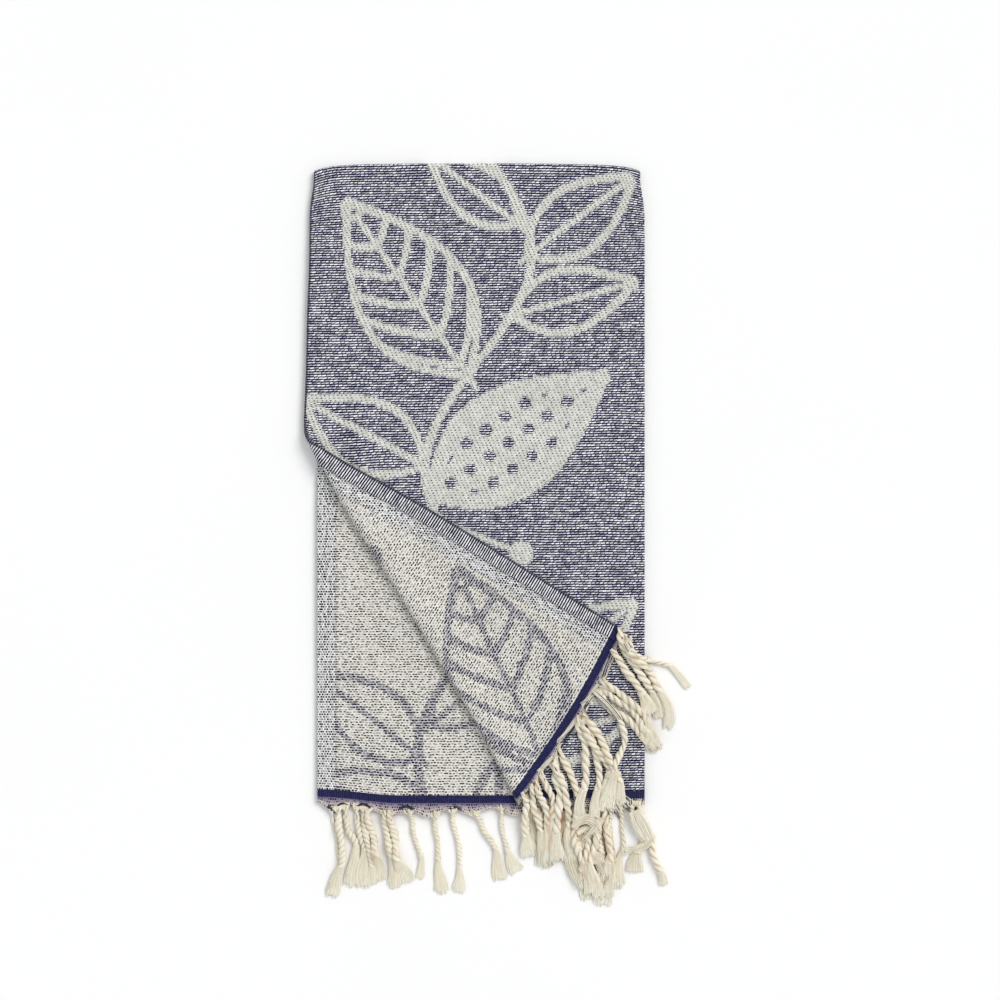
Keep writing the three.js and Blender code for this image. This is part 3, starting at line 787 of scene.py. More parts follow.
# %% Cream reverse
def reverse_finish(start):
    """Uneven dark specks on cream, crowded in the figure, and a small check along the selvedge."""
    u, v = flat_places(start)
    row, rise = (v / ROW).floor(), (v / ROW).fract()
    drawn = woven_figure(u, row)
    brick, first, second, third = woven_cell(start, u / SPECK + row * 0.5, row)
    off = brick - first * 0.4 + 0.2
    low = rise - 0.36 - third * 0.28
    patchy = cloud(start, u * 0.05, v * 0.05, 2.0)
    strength = (second * 0.95 + 0.36) * (patchy * 0.6 + 0.7)
    speck = within(off, 0.37) * within(low, 0.26) * strength.least(1)
    ground = speck.blend(CREAM_BACK, GREY_SPECK)
    crowd = within(off, 0.46) * within(low, 0.34) * (second * 0.8 + 0.6).least(1)
    line = crowd.blend(LILAC, DARK_SPECK)
    colour = drawn.blend(ground, line)
    little, one, two, three = woven_cell(start, u / CHECK + row * 0.5, row)
    check = within(little - one * 0.3 + 0.15, 0.38) * within(rise - 0.5, 0.38) * (two * 0.7 + 0.5).least(1)
    checked = u.under(CHECK_UNDER).most(1 - u.under(CHECK_UPPER))
    colour = checked.blend(colour, check.blend(CHECK_PALE, CHECK_DARK))
    border = within(u - CHECK_UPPER, 1.6) * 0.5 + within(u - CHECK_UNDER, 1.8)
    border = border * within((row / 2).fract() - 0.5, 0.3) * within(rise - 0.5, 0.36) * (one * 0.8 + 0.2)
    colour = border.blend(colour, DARK_SPECK)
    colour = end_colours(start, u, v, colour)
    broad = cloud(start, u * 0.012, v * 0.02)
    fine = cloud(start, u * 0.9, v * 0.7, 2.0)
    tone = three * 0.12 + broad * 0.1 + fine * 0.22 + 0.78
    height = (1 - speck) * 0.5 + (1 - abs(rise - 0.5) * 2) * 0.5
    return toned(start, colour, tone), 0.88 - fine * 0.1, height, 0.0008, 0.2


towel.data.materials.append(finish("navy face", face_finish))
towel.data.materials.append(finish("cream reverse", reverse_finish))

# %% [markdown]
# ## How a cord comes to rest
#
# A cord lies on whatever is beneath it: the table, the cloth or another cord. A height map of
# small cells holds the top of everything that lies there so far. Each new cord asks the map for
# the highest place under its width, is carried over it in a smooth line, and is then added to
# the map itself, a little sunk, because soft cords press into each other. Where yarn already
# lies deep, it gives way by part of that depth.
#
# The same map tells how far down in the pile a thread lies. Yarn there is made browner, because
# the little light that reaches it has been tinted by the yarn round it.

# %% Height map
MAP_REACH = 530
CELLS = 1.5
MAP_LOW, MAP_HIGH = np.array([-300.0, -560.0]), np.array([320.0, 160.0])
ground = np.zeros(tuple(((MAP_HIGH - MAP_LOW) / CELLS).astype(int)[::-1]))


def cell_of(places):
    """Map row and column of places in the plane."""
    at = ((places[..., :2] - MAP_LOW) / CELLS).astype(int)
    return np.clip(at[..., 1], 0, ground.shape[0] - 1), np.clip(at[..., 0], 0, ground.shape[1] - 1)


def add_to_map(places):
    """Raises the map to the height of each place, given as an array of x, y and z."""
    np.maximum.at(ground, cell_of(places), places[..., 2])


fine_columns, fine_rows = np.meshgrid(
    np.concatenate([
        np.linspace(0, ROLL_END, 30), np.linspace(ROLL_END, UPPER_END, 466),
        np.linspace(UPPER_END, UNDER_END, 466),
    ]),
    np.linspace(0, MAP_REACH, MAP_REACH + 1) / FRONT_ROW,
)
fine_x, _ = section(fine_columns, 0, turned_margin(FRONT_HEM + FRONT_ROW * fine_rows))
fine_pull = lobes(fine_columns, fine_x)
for side in (-0.5, 0.5):
    add_to_map(fold_cloth(fine_columns, fine_rows, side * THICKNESS, fine_pull))
cloth_top = ground.copy()
print("highest cloth in the map:", ground.max().round(1))


# %% Routes
STEP = 2.0


def run_along(path):
    """Length from the start of a path to each of its places."""
    return np.concatenate([[0], np.cumsum(np.linalg.norm(np.diff(path, axis=0), axis=1))])


def curve_through(points):
    """A Catmull-Rom curve through the points, cut into even steps."""
    p = np.asarray(points, float)
    p = np.vstack([2 * p[0] - p[1], p, 2 * p[-1] - p[-2]])
    a, b, c, d = p[:-3], p[1:-2], p[2:-1], p[3:]
    t = np.linspace(0, 1, 12, endpoint=False)[:, None, None]
    curve = 0.5 * (2 * b + (c - a) * t + (2 * a - 5 * b + 4 * c - d) * t**2 + (3 * b - a - 3 * c + d) * t**3)
    curve = np.concatenate([curve.transpose(1, 0, 2).reshape(-1, p.shape[1]), p[-2:-1]])
    length = run_along(curve)
    at = np.linspace(0, length[-1], max(4, round(length[-1] / STEP)) + 1)
    return np.stack([np.interp(at, length, curve[:, k]) for k in range(p.shape[1])], 1), at


def sideways(path):
    """Level unit vectors to the right of a path's direction."""
    run = np.gradient(path[:, :2], axis=0)
    run /= np.linalg.norm(run, axis=1)[:, None]
    return np.stack([run[:, 1], -run[:, 0]], 1)


PRESS_FROM, PRESSED = 7.0, 0.55


def rest_on_map(plan, half, wide):
    """Heights of a cord's middle line: its half thickness above the highest place under it, smoothed.
    Its half width is wide times its half thickness. Yarn more than PRESS_FROM deep gives way by the
    share PRESSED of what lies above that depth."""
    right = sideways(plan)
    offsets = np.linspace(-0.75, 0.75, 7)[:, None, None] * np.reshape(half * wide, (1, -1, 1))
    cell = cell_of(plan[None] + right[None] * offsets)
    yarn = ground[cell] - cloth_top[cell]
    beneath = (ground[cell] - PRESSED * np.maximum(yarn - PRESS_FROM, 0)).max(0)
    spread = np.max([np.roll(np.pad(beneath, 3, "edge"), k)[3:-3] for k in (-2, -1, 0, 1, 2)], axis=0)
    return calm(spread, 4) + half * 0.95


def press_on_map(path, half, sunk=0.1):
    """Adds a laid cord to the map, sunk so that the next one presses into it."""
    right = sideways(path)
    share = np.linspace(-0.9, 0.9, 9)[:, None, None]
    half = np.reshape(half, (1, -1, 1)) + 0 * path[None, :, :1]
    places = path[None, :, :2] + right[None] * share * half
    top = path[None, :, 2:] + half * (np.sqrt(1 - share**2) - 1 + sunk)
    add_to_map(np.concatenate([places, top], -1))


# %% Depth in the pile
YARN_LEAST = 0.5
PILE_REACH, PILE_DEPTH = 6, 3.0
PILE_THICK, PILE_FULL = 5.0, 3.0
TOP_SHARE, HOLLOW = 0.3, 1.5
PATCHES = [
    # millimetres across, millimetres along, phase
    (17.0, 41.0, 0.4), (25.0, 33.0, 2.1), (13.0, 55.0, 4.4),
]


def softened(values):
    """Running means weighted by a bell, along both directions of the map."""
    for turned in (0, 1):
        values = np.apply_along_axis(calm, turned, values, PILE_REACH)
    return values


def painted_pile_shade(places):
    """Painted brown shade: by how far the yarn lies below the mean top of the yarn round it, as a share of
    PILE_DEPTH, and in uneven patches, a mean of sine waves, where many cords lie on each other."""
    yarn = (ground > cloth_top + YARN_LEAST).astype(float)
    share = softened(yarn)
    top = softened(ground * yarn) / (share + 1e-6)
    thick = softened(ground - cloth_top)
    cell = cell_of(places)
    depth = np.clip((top[cell] - places[:, 2]) / PILE_DEPTH, 0, 1)
    x, y = places[:, 0] * 2 * math.pi, places[:, 1] * 2 * math.pi
    waves = [np.sin(x / across + phase + 1.5 * np.sin(y / along + phase)) for across, along, phase in PATCHES]
    patch = smooth(np.mean(waves, axis=0) / 0.5)
    patch = patch * np.clip((thick[cell] - PILE_THICK) / PILE_FULL, 0, 1)
    low = TOP_SHARE + (1 - TOP_SHARE) * np.clip((ground[cell] - places[:, 2]) / HOLLOW, 0, 1)
    return np.maximum(depth * np.clip(share[cell] * 1.6 - 0.4, 0, 1), patch * low)


# %% [markdown]
# ## Tubes, tufts and knots
#
# Each thread is a thin tube. Many tubes with the same number of steps are worked out at once,
# as one array of rings. A ring stands square to its path: one axis level, the other up. Two
# plies and a few stray threads make a cord. A tuft is a flat fan of fibres over a soft core, a
# skein is a band of loose threads, and a knot is a thread wound round the cord.


# %% A bundle of tubes
# Painted groove shade begins where a point faces out along outward by less than this share.
GROOVE_SHADE_FROM = 0.22


class Bundle:
    """Collects tubes of one piece, with a tone, a share of navy, a lengthwise measure and a share of
    painted groove shade at each point.
    """

    def __init__(self):
        self.points, self.quads, self.caps = [], [], []
        self.tone, self.navy, self.yarn = [], [], []
        self.count = 0

    def tubes(
        self, paths, wide, high=None, sides=5, tone=0.5, navy=0.0, reference=(0, 0, 1), warp=1.0, outward=None
    ):
        """Rings round each path: centre + wide · cos(a) · level + high · sin(a) · upright. A point that
        faces against outward is a recess: its depth is the share by which it does, and it gets that share of
        painted groove shade."""
        paths = np.asarray(paths, float)
        number, steps = paths.shape[:2]
        run = np.gradient(paths, axis=1)
        run /= np.linalg.norm(run, axis=2)[..., None] + 1e-9
        level = np.cross(run, np.broadcast_to(np.asarray(reference, float), run.shape))
        level /= np.linalg.norm(level, axis=2)[..., None] + 1e-9
        upright = np.cross(level, run)
        wide = np.broadcast_to(wide, (number, steps))[..., None, None]
        high = wide if high is None else np.broadcast_to(high, (number, steps))[..., None, None]
        angle = np.arange(sides) * (2 * math.pi / sides)
        ring = np.cos(angle)[:, None] * level[:, :, None] * wide
        ring = ring + np.sin(angle)[:, None] * upright[:, :, None] * high
        points = paths[:, :, None] + ring
        points[..., 2] = np.maximum(points[..., 2], 0)
        index = self.count + np.arange(number * steps * sides).reshape(number, steps, sides)
        after = np.roll(index, -1, axis=2)
        quads = np.stack([index[:, :-1], index[:, 1:], after[:, 1:], after[:, :-1]], -1)
        self.quads.append(quads.reshape(-1, 4))
        self.caps.append(np.concatenate([index[:, 0], index[:, -1, ::-1]]))
        self.points.append(points.reshape(-1, 3))
        self.count += number * steps * sides
        length = np.concatenate(
            [np.zeros((number, 1)), np.cumsum(np.linalg.norm(np.diff(paths, axis=1), axis=2), axis=1)], axis=1
        )
        shape = (number, steps, sides)

        def spread(value):
            """One value, one for each tube or one for each step of each tube, given to every point."""
            value = np.asarray(value, float)
            return np.broadcast_to(value[..., None] if value.ndim == 2 else value.reshape(-1, 1, 1), shape)

        tones = spread(tone)
        self.tone.append(tones.ravel())
        self.navy.append(spread(navy).ravel())
        turns = np.broadcast_to(angle * warp + tones[:, :1] * 40, shape)
        depth = np.zeros(shape)
        # depth is the share of painted groove shade, kept with the yarn's measures.
        if outward is not None:
            facing = ring / (np.linalg.norm(ring, axis=3)[..., None] + 1e-9)
            depth = np.clip(GROOVE_SHADE_FROM - (facing * outward[:, :, None]).sum(3), 0, 1)
        along = np.broadcast_to(length[..., None], shape)
        self.yarn.append(np.stack([turns.ravel(), along.ravel(), depth.ravel()], -1))

    def mesh(self, name):
        """One mesh of all tubes, in metres, with its caps and its point attributes."""
        mesh = bpy.data.meshes.new(name)
        faces = np.concatenate(self.quads).tolist()
        for caps in self.caps:
            faces += caps.tolist()
        mesh.from_pydata((np.concatenate(self.points) / 1000).tolist(), [], faces)
        mesh.polygons.foreach_set("use_smooth", np.ones(len(faces), bool))
        for title, values in (("tone", self.tone), ("navy", self.navy)):
            attribute = mesh.attributes.new(title, "FLOAT", "POINT")
            attribute.data.foreach_set("value", np.concatenate(values).astype(np.float32))
        yarn = np.concatenate(self.yarn)
        attribute = mesh.attributes.new("yarn", "FLOAT_VECTOR", "POINT")
        attribute.data.foreach_set("vector", yarn.ravel().astype(np.float32))
        mesh.set_sharp_from_angle(angle=math.radians(70))
        mesh.update()
        return mesh


# %% Two-ply cord
PLY_OFF, PLY_HALF = 0.21, 0.31
PLY_STEPS, PLY_SIDES = 11, 8
STRAYS, STRAY_HALF, STRAY_SIDES, STRAY_SLOW = 4, 0.32, 3, 2.4
FLATTENED = 0.9


def square_to(run):
    """Two unit vectors square to a direction and to each other: one level, one upright."""
    level = np.cross(run, (0, 0, 1))
    level = level / np.linalg.norm(level, axis=-1)[..., None]
    return level, np.cross(level, run)


def twisted(bundle, path, thick, turn, start, tone):
    """Two plies on opposite sides of the middle line, going round it once in each turn of length, and a
    few stray threads that wind round both more slowly."""
    length = run_along(path)
    fine = np.linspace(0, length[-1], max(6, int(length[-1] / (abs(turn) / PLY_STEPS))))
    middle = np.stack([np.interp(fine, length, path[:, k]) for k in range(3)], 1)
    thickness = np.interp(fine, length, thick)
    run = np.gradient(middle, axis=0)
    run /= np.linalg.norm(run, axis=1)[:, None]
    level, upright = square_to(run)

    def around(angle):
        """The way out from the middle line at an angle, a little flatter upwards."""
        return np.cos(angle)[..., None] * level + np.sin(angle)[..., None] * upright * FLATTENED

    outward = around(fine * (2 * math.pi / turn) + start + np.array([[0], [math.pi]]))
    plies = middle + outward * thickness[:, None] * PLY_OFF
    tones = tone + chance.uniform(-0.08, 0.08, 2)
    uneven = 1 + 0.09 * np.sin(fine / 5.0 + chance.uniform(0, 6, (2, 1)))
    # The plies' sides that face each other get painted groove shade through outward.
    bundle.tubes(plies, thickness * PLY_HALF * uneven, sides=PLY_SIDES, tone=tones, outward=outward)
    off = around(fine * (2 * math.pi / (STRAY_SLOW * turn)) + chance.uniform(0, 6, (STRAYS, 1)))
    reach = thickness * (0.49 + 0.06 * np.sin(fine / 4 + chance.uniform(0, 6, (STRAYS, 1))))
    tones = tone + chance.uniform(0.0, 0.3, STRAYS)
    bundle.tubes(middle + off * reach[..., None], STRAY_HALF, sides=STRAY_SIDES, tone=tones)


# %% Threads side by side
FIBRES, THREAD_STEPS = 46, 11


def some_navy(count, share):
    """1 for each thread that is navy and 0 for the rest, drawn one by one."""
    return (chance.uniform(0, 1, count) < share).astype(float)


def lay_threads(bundle, path, half, high, threads, tone, ragged=0.1, navy_share=0.0, filled=0.55):
    """Threads over a soft core: thread i runs at u_i of the half width, on the half ellipse over the middle
    line. They grow paler towards their ends. Without a core, each thread lies on the map by itself."""
    share = np.linspace(0, 1, THREAD_STEPS)
    run = run_along(path)
    table = np.column_stack([path, sideways(path), half, high])

    def along(where):
        return np.stack([np.interp(where * run[-1], run, column) for column in table.T], -1)

    if filled:
        core = along(share * 0.9)
        wide = core[:, 5] * 0.9 * (1 - 0.3 * share**3)
        bundle.tubes(core[None, :, :3], wide, core[:, 6] * filled, sides=16, tone=tone, warp=3.0)
    u = np.linspace(-1, 1, threads) + chance.uniform(-0.05, 0.05, threads)
    short = 1 - ragged * (u**6 + chance.uniform(0, 1, threads)) + 0.03 * np.sin(u * 5 + tone * 20)
    row = along(share[None] * short[:, None].clip(0, 1))
    bend = 0.7 * np.sin(share * 5 + chance.uniform(0, 6, (threads, 1)))
    beside = u[:, None] * row[..., 5] + (chance.normal(0, 0.8, (threads, 1)) * share + bend) * share
    crown = np.sqrt(np.clip(1.05 - u * u, 0, 1)) * chance.uniform(0.6, 1.0, threads)
    places = row[..., :3].copy()
    places[..., :2] += row[..., 3:5] * beside[..., None]
    if filled:
        places[..., 2] = np.maximum(places[..., 2] + crown[:, None] * row[..., 6] * 0.85, 0.6)
    else:
        beneath = np.apply_along_axis(calm, 1, ground[cell_of(places)], 1)
        places[..., 2] = beneath + 0.4 + crown[:, None] * row[..., 6]
    size = np.clip(1.1 * np.mean(half) / threads, 0.55, 1.3)
    navy = some_navy(threads, navy_share)
    tones = tone + chance.uniform(-0.4, 0.35, (threads, 1)) + 0.4 * share**2
    bundle.tubes(places, size * (1 - 0.3 * share**2), sides=4, tone=tones, navy=navy)


# %% Tuft and skein
def tuft(bundle, path, neck, flare, tone):
    """Threads whose half width grows from the neck to the flare while they thin out in height."""
    share = np.linspace(0, 1, len(path))
    half = neck + (flare - neck) * (0.65 * share**0.8 + 0.35 * smooth(share * 1.1))
    lay_threads(bundle, path, half, neck * 0.95 * (1 - 0.72 * share), FIBRES, tone)


THIN_SKEIN = 1.5


def skein(bundle, threads, deep, navy_share, route):
    """A band of loose threads along a given route of picture places with half widths in pixels.
    One whose half depth is under THIN_SKEIN has no core."""
    route = np.asarray(route, float)
    drawn, _ = curve_through(np.concatenate([from_picture(route[:, :2]), route[:, 2:] * PIXEL], 1))
    plan, half = drawn[:, :2], drawn[:, 2]
    high = np.minimum(deep * PIXEL, half)
    path = np.concatenate([plan, rest_on_map(plan, high, half / high)[:, None]], 1)
    filled = 0.0 if deep < THIN_SKEIN else 0.4
    lay_threads(bundle, path, half, high, threads, chance.uniform(0.45, 0.75), 0.03, navy_share, filled)
    if filled:
        press_on_map(path, half, -0.1)


# %% Knot and gathered root
def knot(bundle, middle, run, radius, tone, turns=2.2, long=6.0, thick=1.7):
    """A thread wound round the cord: a helix of the given radius about the cord's direction."""
    run = run / np.linalg.norm(run)
    level, upright = square_to(run)
    share = np.linspace(-0.5, 0.5, int(10 * turns))
    angle = share * turns * 2 * math.pi + 0.6
    path = middle + run * (share * long)[:, None]
    path = path + (np.cos(angle)[:, None] * level + np.sin(angle)[:, None] * upright * 0.85) * radius
    path[:, 2] = np.maximum(path[:, 2], thick)
    bundle.tubes(path[None], thick, sides=6, tone=tone, reference=run)


THREADS = 17
ROOT_LONG = 15.0
ROOT_STEPS, ROOT_CURVE = 8, 9


def gathered_root(bundle, hem_places, outward, path, thick, navy_share, tone):
    """Threads from places on the hem into the cord: cubic curves that leave square to the hem and join
    along the cord."""
    count = len(hem_places)
    start = np.concatenate([hem_places, ground[cell_of(hem_places)][:, None] + 0.3], 1)
    at = min(ROOT_STEPS, len(path) - 2)
    join = path[at]
    run = path[at + 1] - path[at - 2]
    run /= np.linalg.norm(run)
    level = np.array([run[1], -run[0], 0])
    spread = np.linspace(-1, 1, count)[:, None]
    upwards = chance.uniform(0.05, 0.42, (count, 1)) * np.sqrt(1.1 - spread**2)
    end = join + level * spread * thick * 0.38 + np.array([0, 0, 1]) * upwards * thick
    away = np.concatenate([outward, [0]])
    reach = np.linalg.norm(end - start, axis=1)[:, None]
    share = np.linspace(0, 1, ROOT_CURVE)
    t = share[None, :, None]
    b = start + away * reach * 0.35
    c = end - run * reach * 0.45
    near = (1 - t) ** 3 * start[:, None] + 3 * (1 - t) ** 2 * t * b[:, None]
    curve = near + 3 * (1 - t) * t**2 * c[:, None] + t**3 * end[:, None]
    navy = some_navy(count, navy_share)
    size = np.where(navy > 0.5, 0.65, 0.6 + 0.045 * thick) * chance.uniform(0.8, 1.15, count)
    tones = tone + chance.uniform(-0.35, 0.3, (count, 1)) - 0.35 * (1 - share) ** 2
    bundle.tubes(curve, size[:, None] * (1 - 0.35 * share**2), sides=5, tone=tones, navy=navy)


# %% [markdown]
# ## The fringes
#
# Every cord's route is given in picture places, from its root at the hem to the neck of
# its tuft, and on to the tuft's end. The tables' columns are the cord's thickness and half the
# width of hem that it gathers, both in pixels, whether it has a knot, and its tuft's width.
#
# Skeins are placed in the same way: wide bands under the pile, short navy arcs along the hem,
# strands beside the turned corner and wraps round its cords. A fan is loose threads from a
# stretch of hem to the place where a cord starts.

# %% Routes of the under layer's fringe
UNDER_CORDS = [
    # thickness, gathers, knot, tuft width, route to the neck, route of the tuft
    (3.2, 2.0, 0, 8, [(331, 812), (333.5, 826), (336.5, 845), (339, 860), (339.5, 867)],
     [(336, 875), (331, 888), (329, 897)]),
    (7.2, 5.0, 0, 14, [(338.5, 809), (338.5, 820), (340, 835), (341.5, 850), (342.5, 862), (341.5, 868)],
     [(337, 876), (333, 888), (331, 898.5)]),
    (6.5, 5.0, 0, 15, [(345.5, 809), (346, 822), (347.5, 832), (353, 838.5), (356.5, 845)],
     [(355, 855), (351.5, 872), (350.5, 889)]),
    (6.5, 4.0, 0, 17, [(355.5, 809), (357, 822), (360, 833), (361.5, 842), (363.5, 850)],
     [(364, 860), (363, 875), (364, 890)]),
    (6.5, 4.0, 0, 10, [(362, 809), (363.5, 822), (366, 834), (368, 846), (370, 857), (371.5, 866)],
     [(373, 874), (372, 886)]),
    (7.5, 5.0, 0, 13, [(366.5, 809), (368, 822), (371.5, 833), (374.5, 845), (376, 856)],
     [(378.5, 866), (381, 882)]),
    (7.5, 5.0, 0, 13, [(385, 810), (385, 822), (385.5, 832), (388.5, 845), (391.5, 858)],
     [(393, 870), (394.5, 890)]),
    (7.5, 5.0, 0, 20, [(388.5, 810), (391, 822), (393.5, 834), (395.5, 848), (397.5, 860)],
     [(401, 869), (407, 885)]),
    (4.6, 4.5, 1, 9, [(408.5, 809), (411.5, 822), (414, 835), (417, 846), (420, 856)],
     [(421, 864), (421, 881)]),
    (5.0, 5.0, 0, 15, [(434.5, 811), (435, 822), (436.5, 840), (438, 855), (438.5, 862)],
     [(439, 873), (441.5, 896)]),
    (5.0, 4.5, 0, 14, [(452.5, 807), (453, 820), (455.5, 832), (458, 845), (460, 860), (460, 870)],
     [(459.5, 879), (457, 894.5)]),
    (5.5, 6.0, 0, 16, [(473.5, 811), (478.5, 820), (485, 832), (491, 842), (495, 850)],
     [(498, 862), (501, 882)]),
    (4.6, 3.0, 1, 17, [(501, 805), (501.5, 815), (502.5, 830), (504.5, 842), (507, 851)],
     [(511, 860), (518, 874)]),
    (6.5, 4.0, 0, 18, [(524, 810), (526, 822), (527, 834)], [(529, 845), (531, 858)]),
    (6.5, 5.0, 0, 20, [(538, 808), (540, 820), (542, 832)], [(543, 846), (544, 870)]),
    (6.5, 5.0, 0, 20, [(555, 808), (557, 822), (558, 834)], [(559, 846), (561, 862)]),
    (7.0, 5.0, 0, 20, [(574, 808), (576, 822), (576, 838), (579, 852), (583, 864)], [(586, 878), (589, 902)]),
    (7.0, 5.0, 0, 19, [(594, 808), (597, 822), (600, 840), (602, 854), (603, 868)], [(603, 884), (603, 908)]),
    (5.5, 4.0, 0, 14, [(610, 808), (610, 822), (611, 840), (612, 854)], [(614, 868), (615, 889)]),
]
UNDER_SKEINS = [
    # threads, half depth, share of navy, route with half widths
    (16, 3.0, 0, [(566, 838, 5), (569, 852, 7), (573, 866, 7.5), (578, 880, 5), (581, 888, 3)]),
]
# These bands lie low under the pile, so they mostly take the painted brown shade.
BOTTOM_SKEINS = [
    # threads, half depth, share of navy, route with half widths
    (14, 1.7, 0, [(532, 811, 6), (532, 830, 6.5), (534, 848, 6)]),
    (14, 1.7, 0, [(546, 811, 8), (547, 830, 8), (548, 852, 7)]),
    (14, 1.7, 0, [(561, 811, 9), (562, 832, 9), (567, 856, 8)]),
    (16, 1.7, 0, [(579, 811, 9), (582, 835, 9), (586, 862, 9), (590, 886, 7)]),
    (16, 1.7, 0, [(598, 811, 8), (600, 835, 9), (602, 862, 8), (602, 888, 7)]),
]
HEM_ARCS = [
    # threads, half depth, share of navy, route with half widths
    (4, 1.0, 1, [(337, 806, 0.8), (344, 804, 1.1), (352, 807, 0.8)]),
    (5, 1.0, 1, [(355, 807, 0.8), (363, 804.5, 1.2), (371, 808, 0.8)]),
    (5, 1.0, 1, [(399, 809, 0.8), (406, 806.5, 1.2), (414, 809.5, 0.8)]),
    (4, 1.0, 1, [(450, 809, 0.8), (455, 807.5, 1.0), (462, 810, 0.8)]),
    (5, 1.0, 1, [(328, 806, 1.0), (331, 810, 1.4), (334, 814, 1.2)]),
]

# %% Routes of the front end's fringe
FRONT_CORDS = [
    # thickness, gathers, knot, tuft width, route to the neck, route of the tuft
    (6.0, 5.0, 0, 12, [(548, 806), (550, 820), (553, 836)], [(554, 848), (556, 861)]),
    (6.8, 5.0, 0, 12, [(604, 806), (606, 820), (608, 836), (610, 850), (611, 864)], [(612, 874), (611, 890)]),
    (4.2, 3.0, 0, 13.5, [(620, 804), (621.5, 816), (623, 828), (624, 842), (622, 851)],
     [(619, 862), (618.5, 890)]),
    (6.4, 6.0, 1, 20, [(631, 805), (634, 814), (637.5, 825), (642, 836), (643, 845), (638, 852)],
     [(635, 860), (635.5, 874.5)]),
    (7.0, 6.0, 0, 8,
     [(638, 804), (641, 812), (645, 823), (650, 834), (652, 844), (653, 853), (656, 862), (660, 872)],
     [(662, 878), (664.5, 887)]),
]
FRONT_SKEINS = [
    # threads, half depth, share of navy, route with half widths
    (14, 2.6, 0, [(634, 811, 5.5), (638, 821, 7), (644, 832, 7.5), (650, 843, 5)]),
    (9, 1.4, 0.6, [(598, 809, 2), (606, 811, 3.2), (614, 811, 2)]),
    (6, 2.2, 0, [(653, 837, 2), (647, 845, 3), (638, 849, 3.2), (630, 850, 2.8), (622, 853, 2)]),
]
FRONT_FANS = [
    # place where the threads meet, half width of hem, threads, share of navy
    ((636, 810), 13, 36, 0.45),
    ((621, 806), 7, 14, 0.5),
]

# %% Routes of the turned corner's fringe
FLAP_CORDS = [
    # thickness, gathers, knot, tuft width, route to the neck, route of the tuft
    (6.8, 5.0, 0, 15, [(522, 791), (526, 801), (526, 813), (524, 826), (525, 837)], [(527, 847), (530, 858)]),
    (6.8, 5.0, 0, 16, [(531, 783), (533, 794), (534, 808), (537, 820), (541, 832)], [(543, 846), (546, 869)]),
    (7.0, 5.0, 0, 16, [(536, 779), (539, 792), (543, 803), (547, 814), (548, 826)], [(549, 842), (550, 866)]),
    (6.6, 5.0, 0, 14, [(542, 774), (546, 784), (551, 795), (553, 808), (552, 820)], [(552, 838), (555, 862)]),
    (8.0, 6.0, 0, 18, [(556, 756), (556, 768), (555, 779), (560, 792), (559, 806), (557, 820), (556, 832)],
     [(556, 846), (556, 862)]),
    (7.6, 6.0, 0, 17, [(553, 762), (558, 774), (564, 787), (567, 801), (568, 815), (568, 828)],
     [(570, 844), (574, 864)]),
    (7.4, 6.0, 0, 10, [(560, 751), (565, 763), (571, 776), (577, 789), (579, 800)], [(580, 812), (581, 824)]),
    (7.0, 0, 0, 13, [(573, 826), (574, 838), (578, 851), (582, 862)], [(585, 874), (588, 890)]),
    (7.0, 0, 0, 13, [(582, 828), (588, 838), (588, 850), (585, 862)], [(588, 878), (591, 897)]),
    (7.0, 0, 0, 13, [(597, 828), (596, 842), (592, 854), (590, 864)], [(595, 880), (599, 901)]),
    (7.0, 0, 0, 13, [(604, 824), (608, 838), (611, 851), (611, 864)], [(610, 878), (608, 900)]),
    (7.6, 6.0, 0, 11, [(578, 715), (580, 729), (584, 743), (586, 758), (586, 774), (583, 789)],
     [(580, 804), (580, 820)]),
    (7.0, 5.0, 0, 11, [(585, 721), (590, 735), (594, 748), (598, 762), (599, 776), (597, 790)],
     [(595, 806), (594, 822)]),
    (7.4, 6.0, 0, 14, [(580, 719), (586, 731), (592, 742), (599, 753), (606, 763), (610, 772)],
     [(606, 788), (602, 812)]),
    (7.8, 8.0, 0, 14, [(583, 713), (590, 722), (597, 732), (602, 743), (608, 755), (614, 768), (619, 782)],
     [(620, 792), (619, 806)]),
    (7.2, 4.0, 0, 15, [(600, 689), (604, 701), (611, 709), (620, 714), (628, 720), (636, 728), (642, 735)],
     [(652, 743), (660, 752)]),
    (6.4, 2.0, 0, 15,
     [(614, 712), (620, 720), (624, 730), (624.5, 740), (621, 750), (617, 760), (614.5, 771)],
     [(610, 788), (607, 811)]),
    (7.0, 4.0, 0, 13, [(601, 686), (612, 696), (622, 703), (631, 710), (638, 719), (643, 727)],
     [(649, 737), (652, 752)]),
    (7.2, 5.0, 0, 13, [(600, 681), (612, 688.5), (622, 695), (632, 702.5), (640, 711), (646, 720)],
     [(651, 731), (657, 749)]),
    (7.4, 4.0, 0, 13, [(619, 627), (621, 640), (624, 650), (630, 659), (637, 668), (645, 681), (651, 692)],
     [(657, 704), (661, 720)]),
    (7.8, 4.0, 1, 17, [(611, 649), (617, 657), (624, 667), (631, 677), (637, 686), (642, 694)],
     [(647, 702), (650, 714)]),
    (8.2, 3.0, 0, 12, [(626, 640), (629, 650), (637, 659), (646, 668), (654, 680), (661, 692)],
     [(667, 705), (670, 718), (669.5, 731)]),
    (5.0, 3.0, 0, 8,
     [(630, 636), (631, 648), (636, 655), (645, 658.5), (655, 661.5), (664, 664.5), (670, 667)],
     [(677, 673), (684, 681), (690, 688.5)]),
]
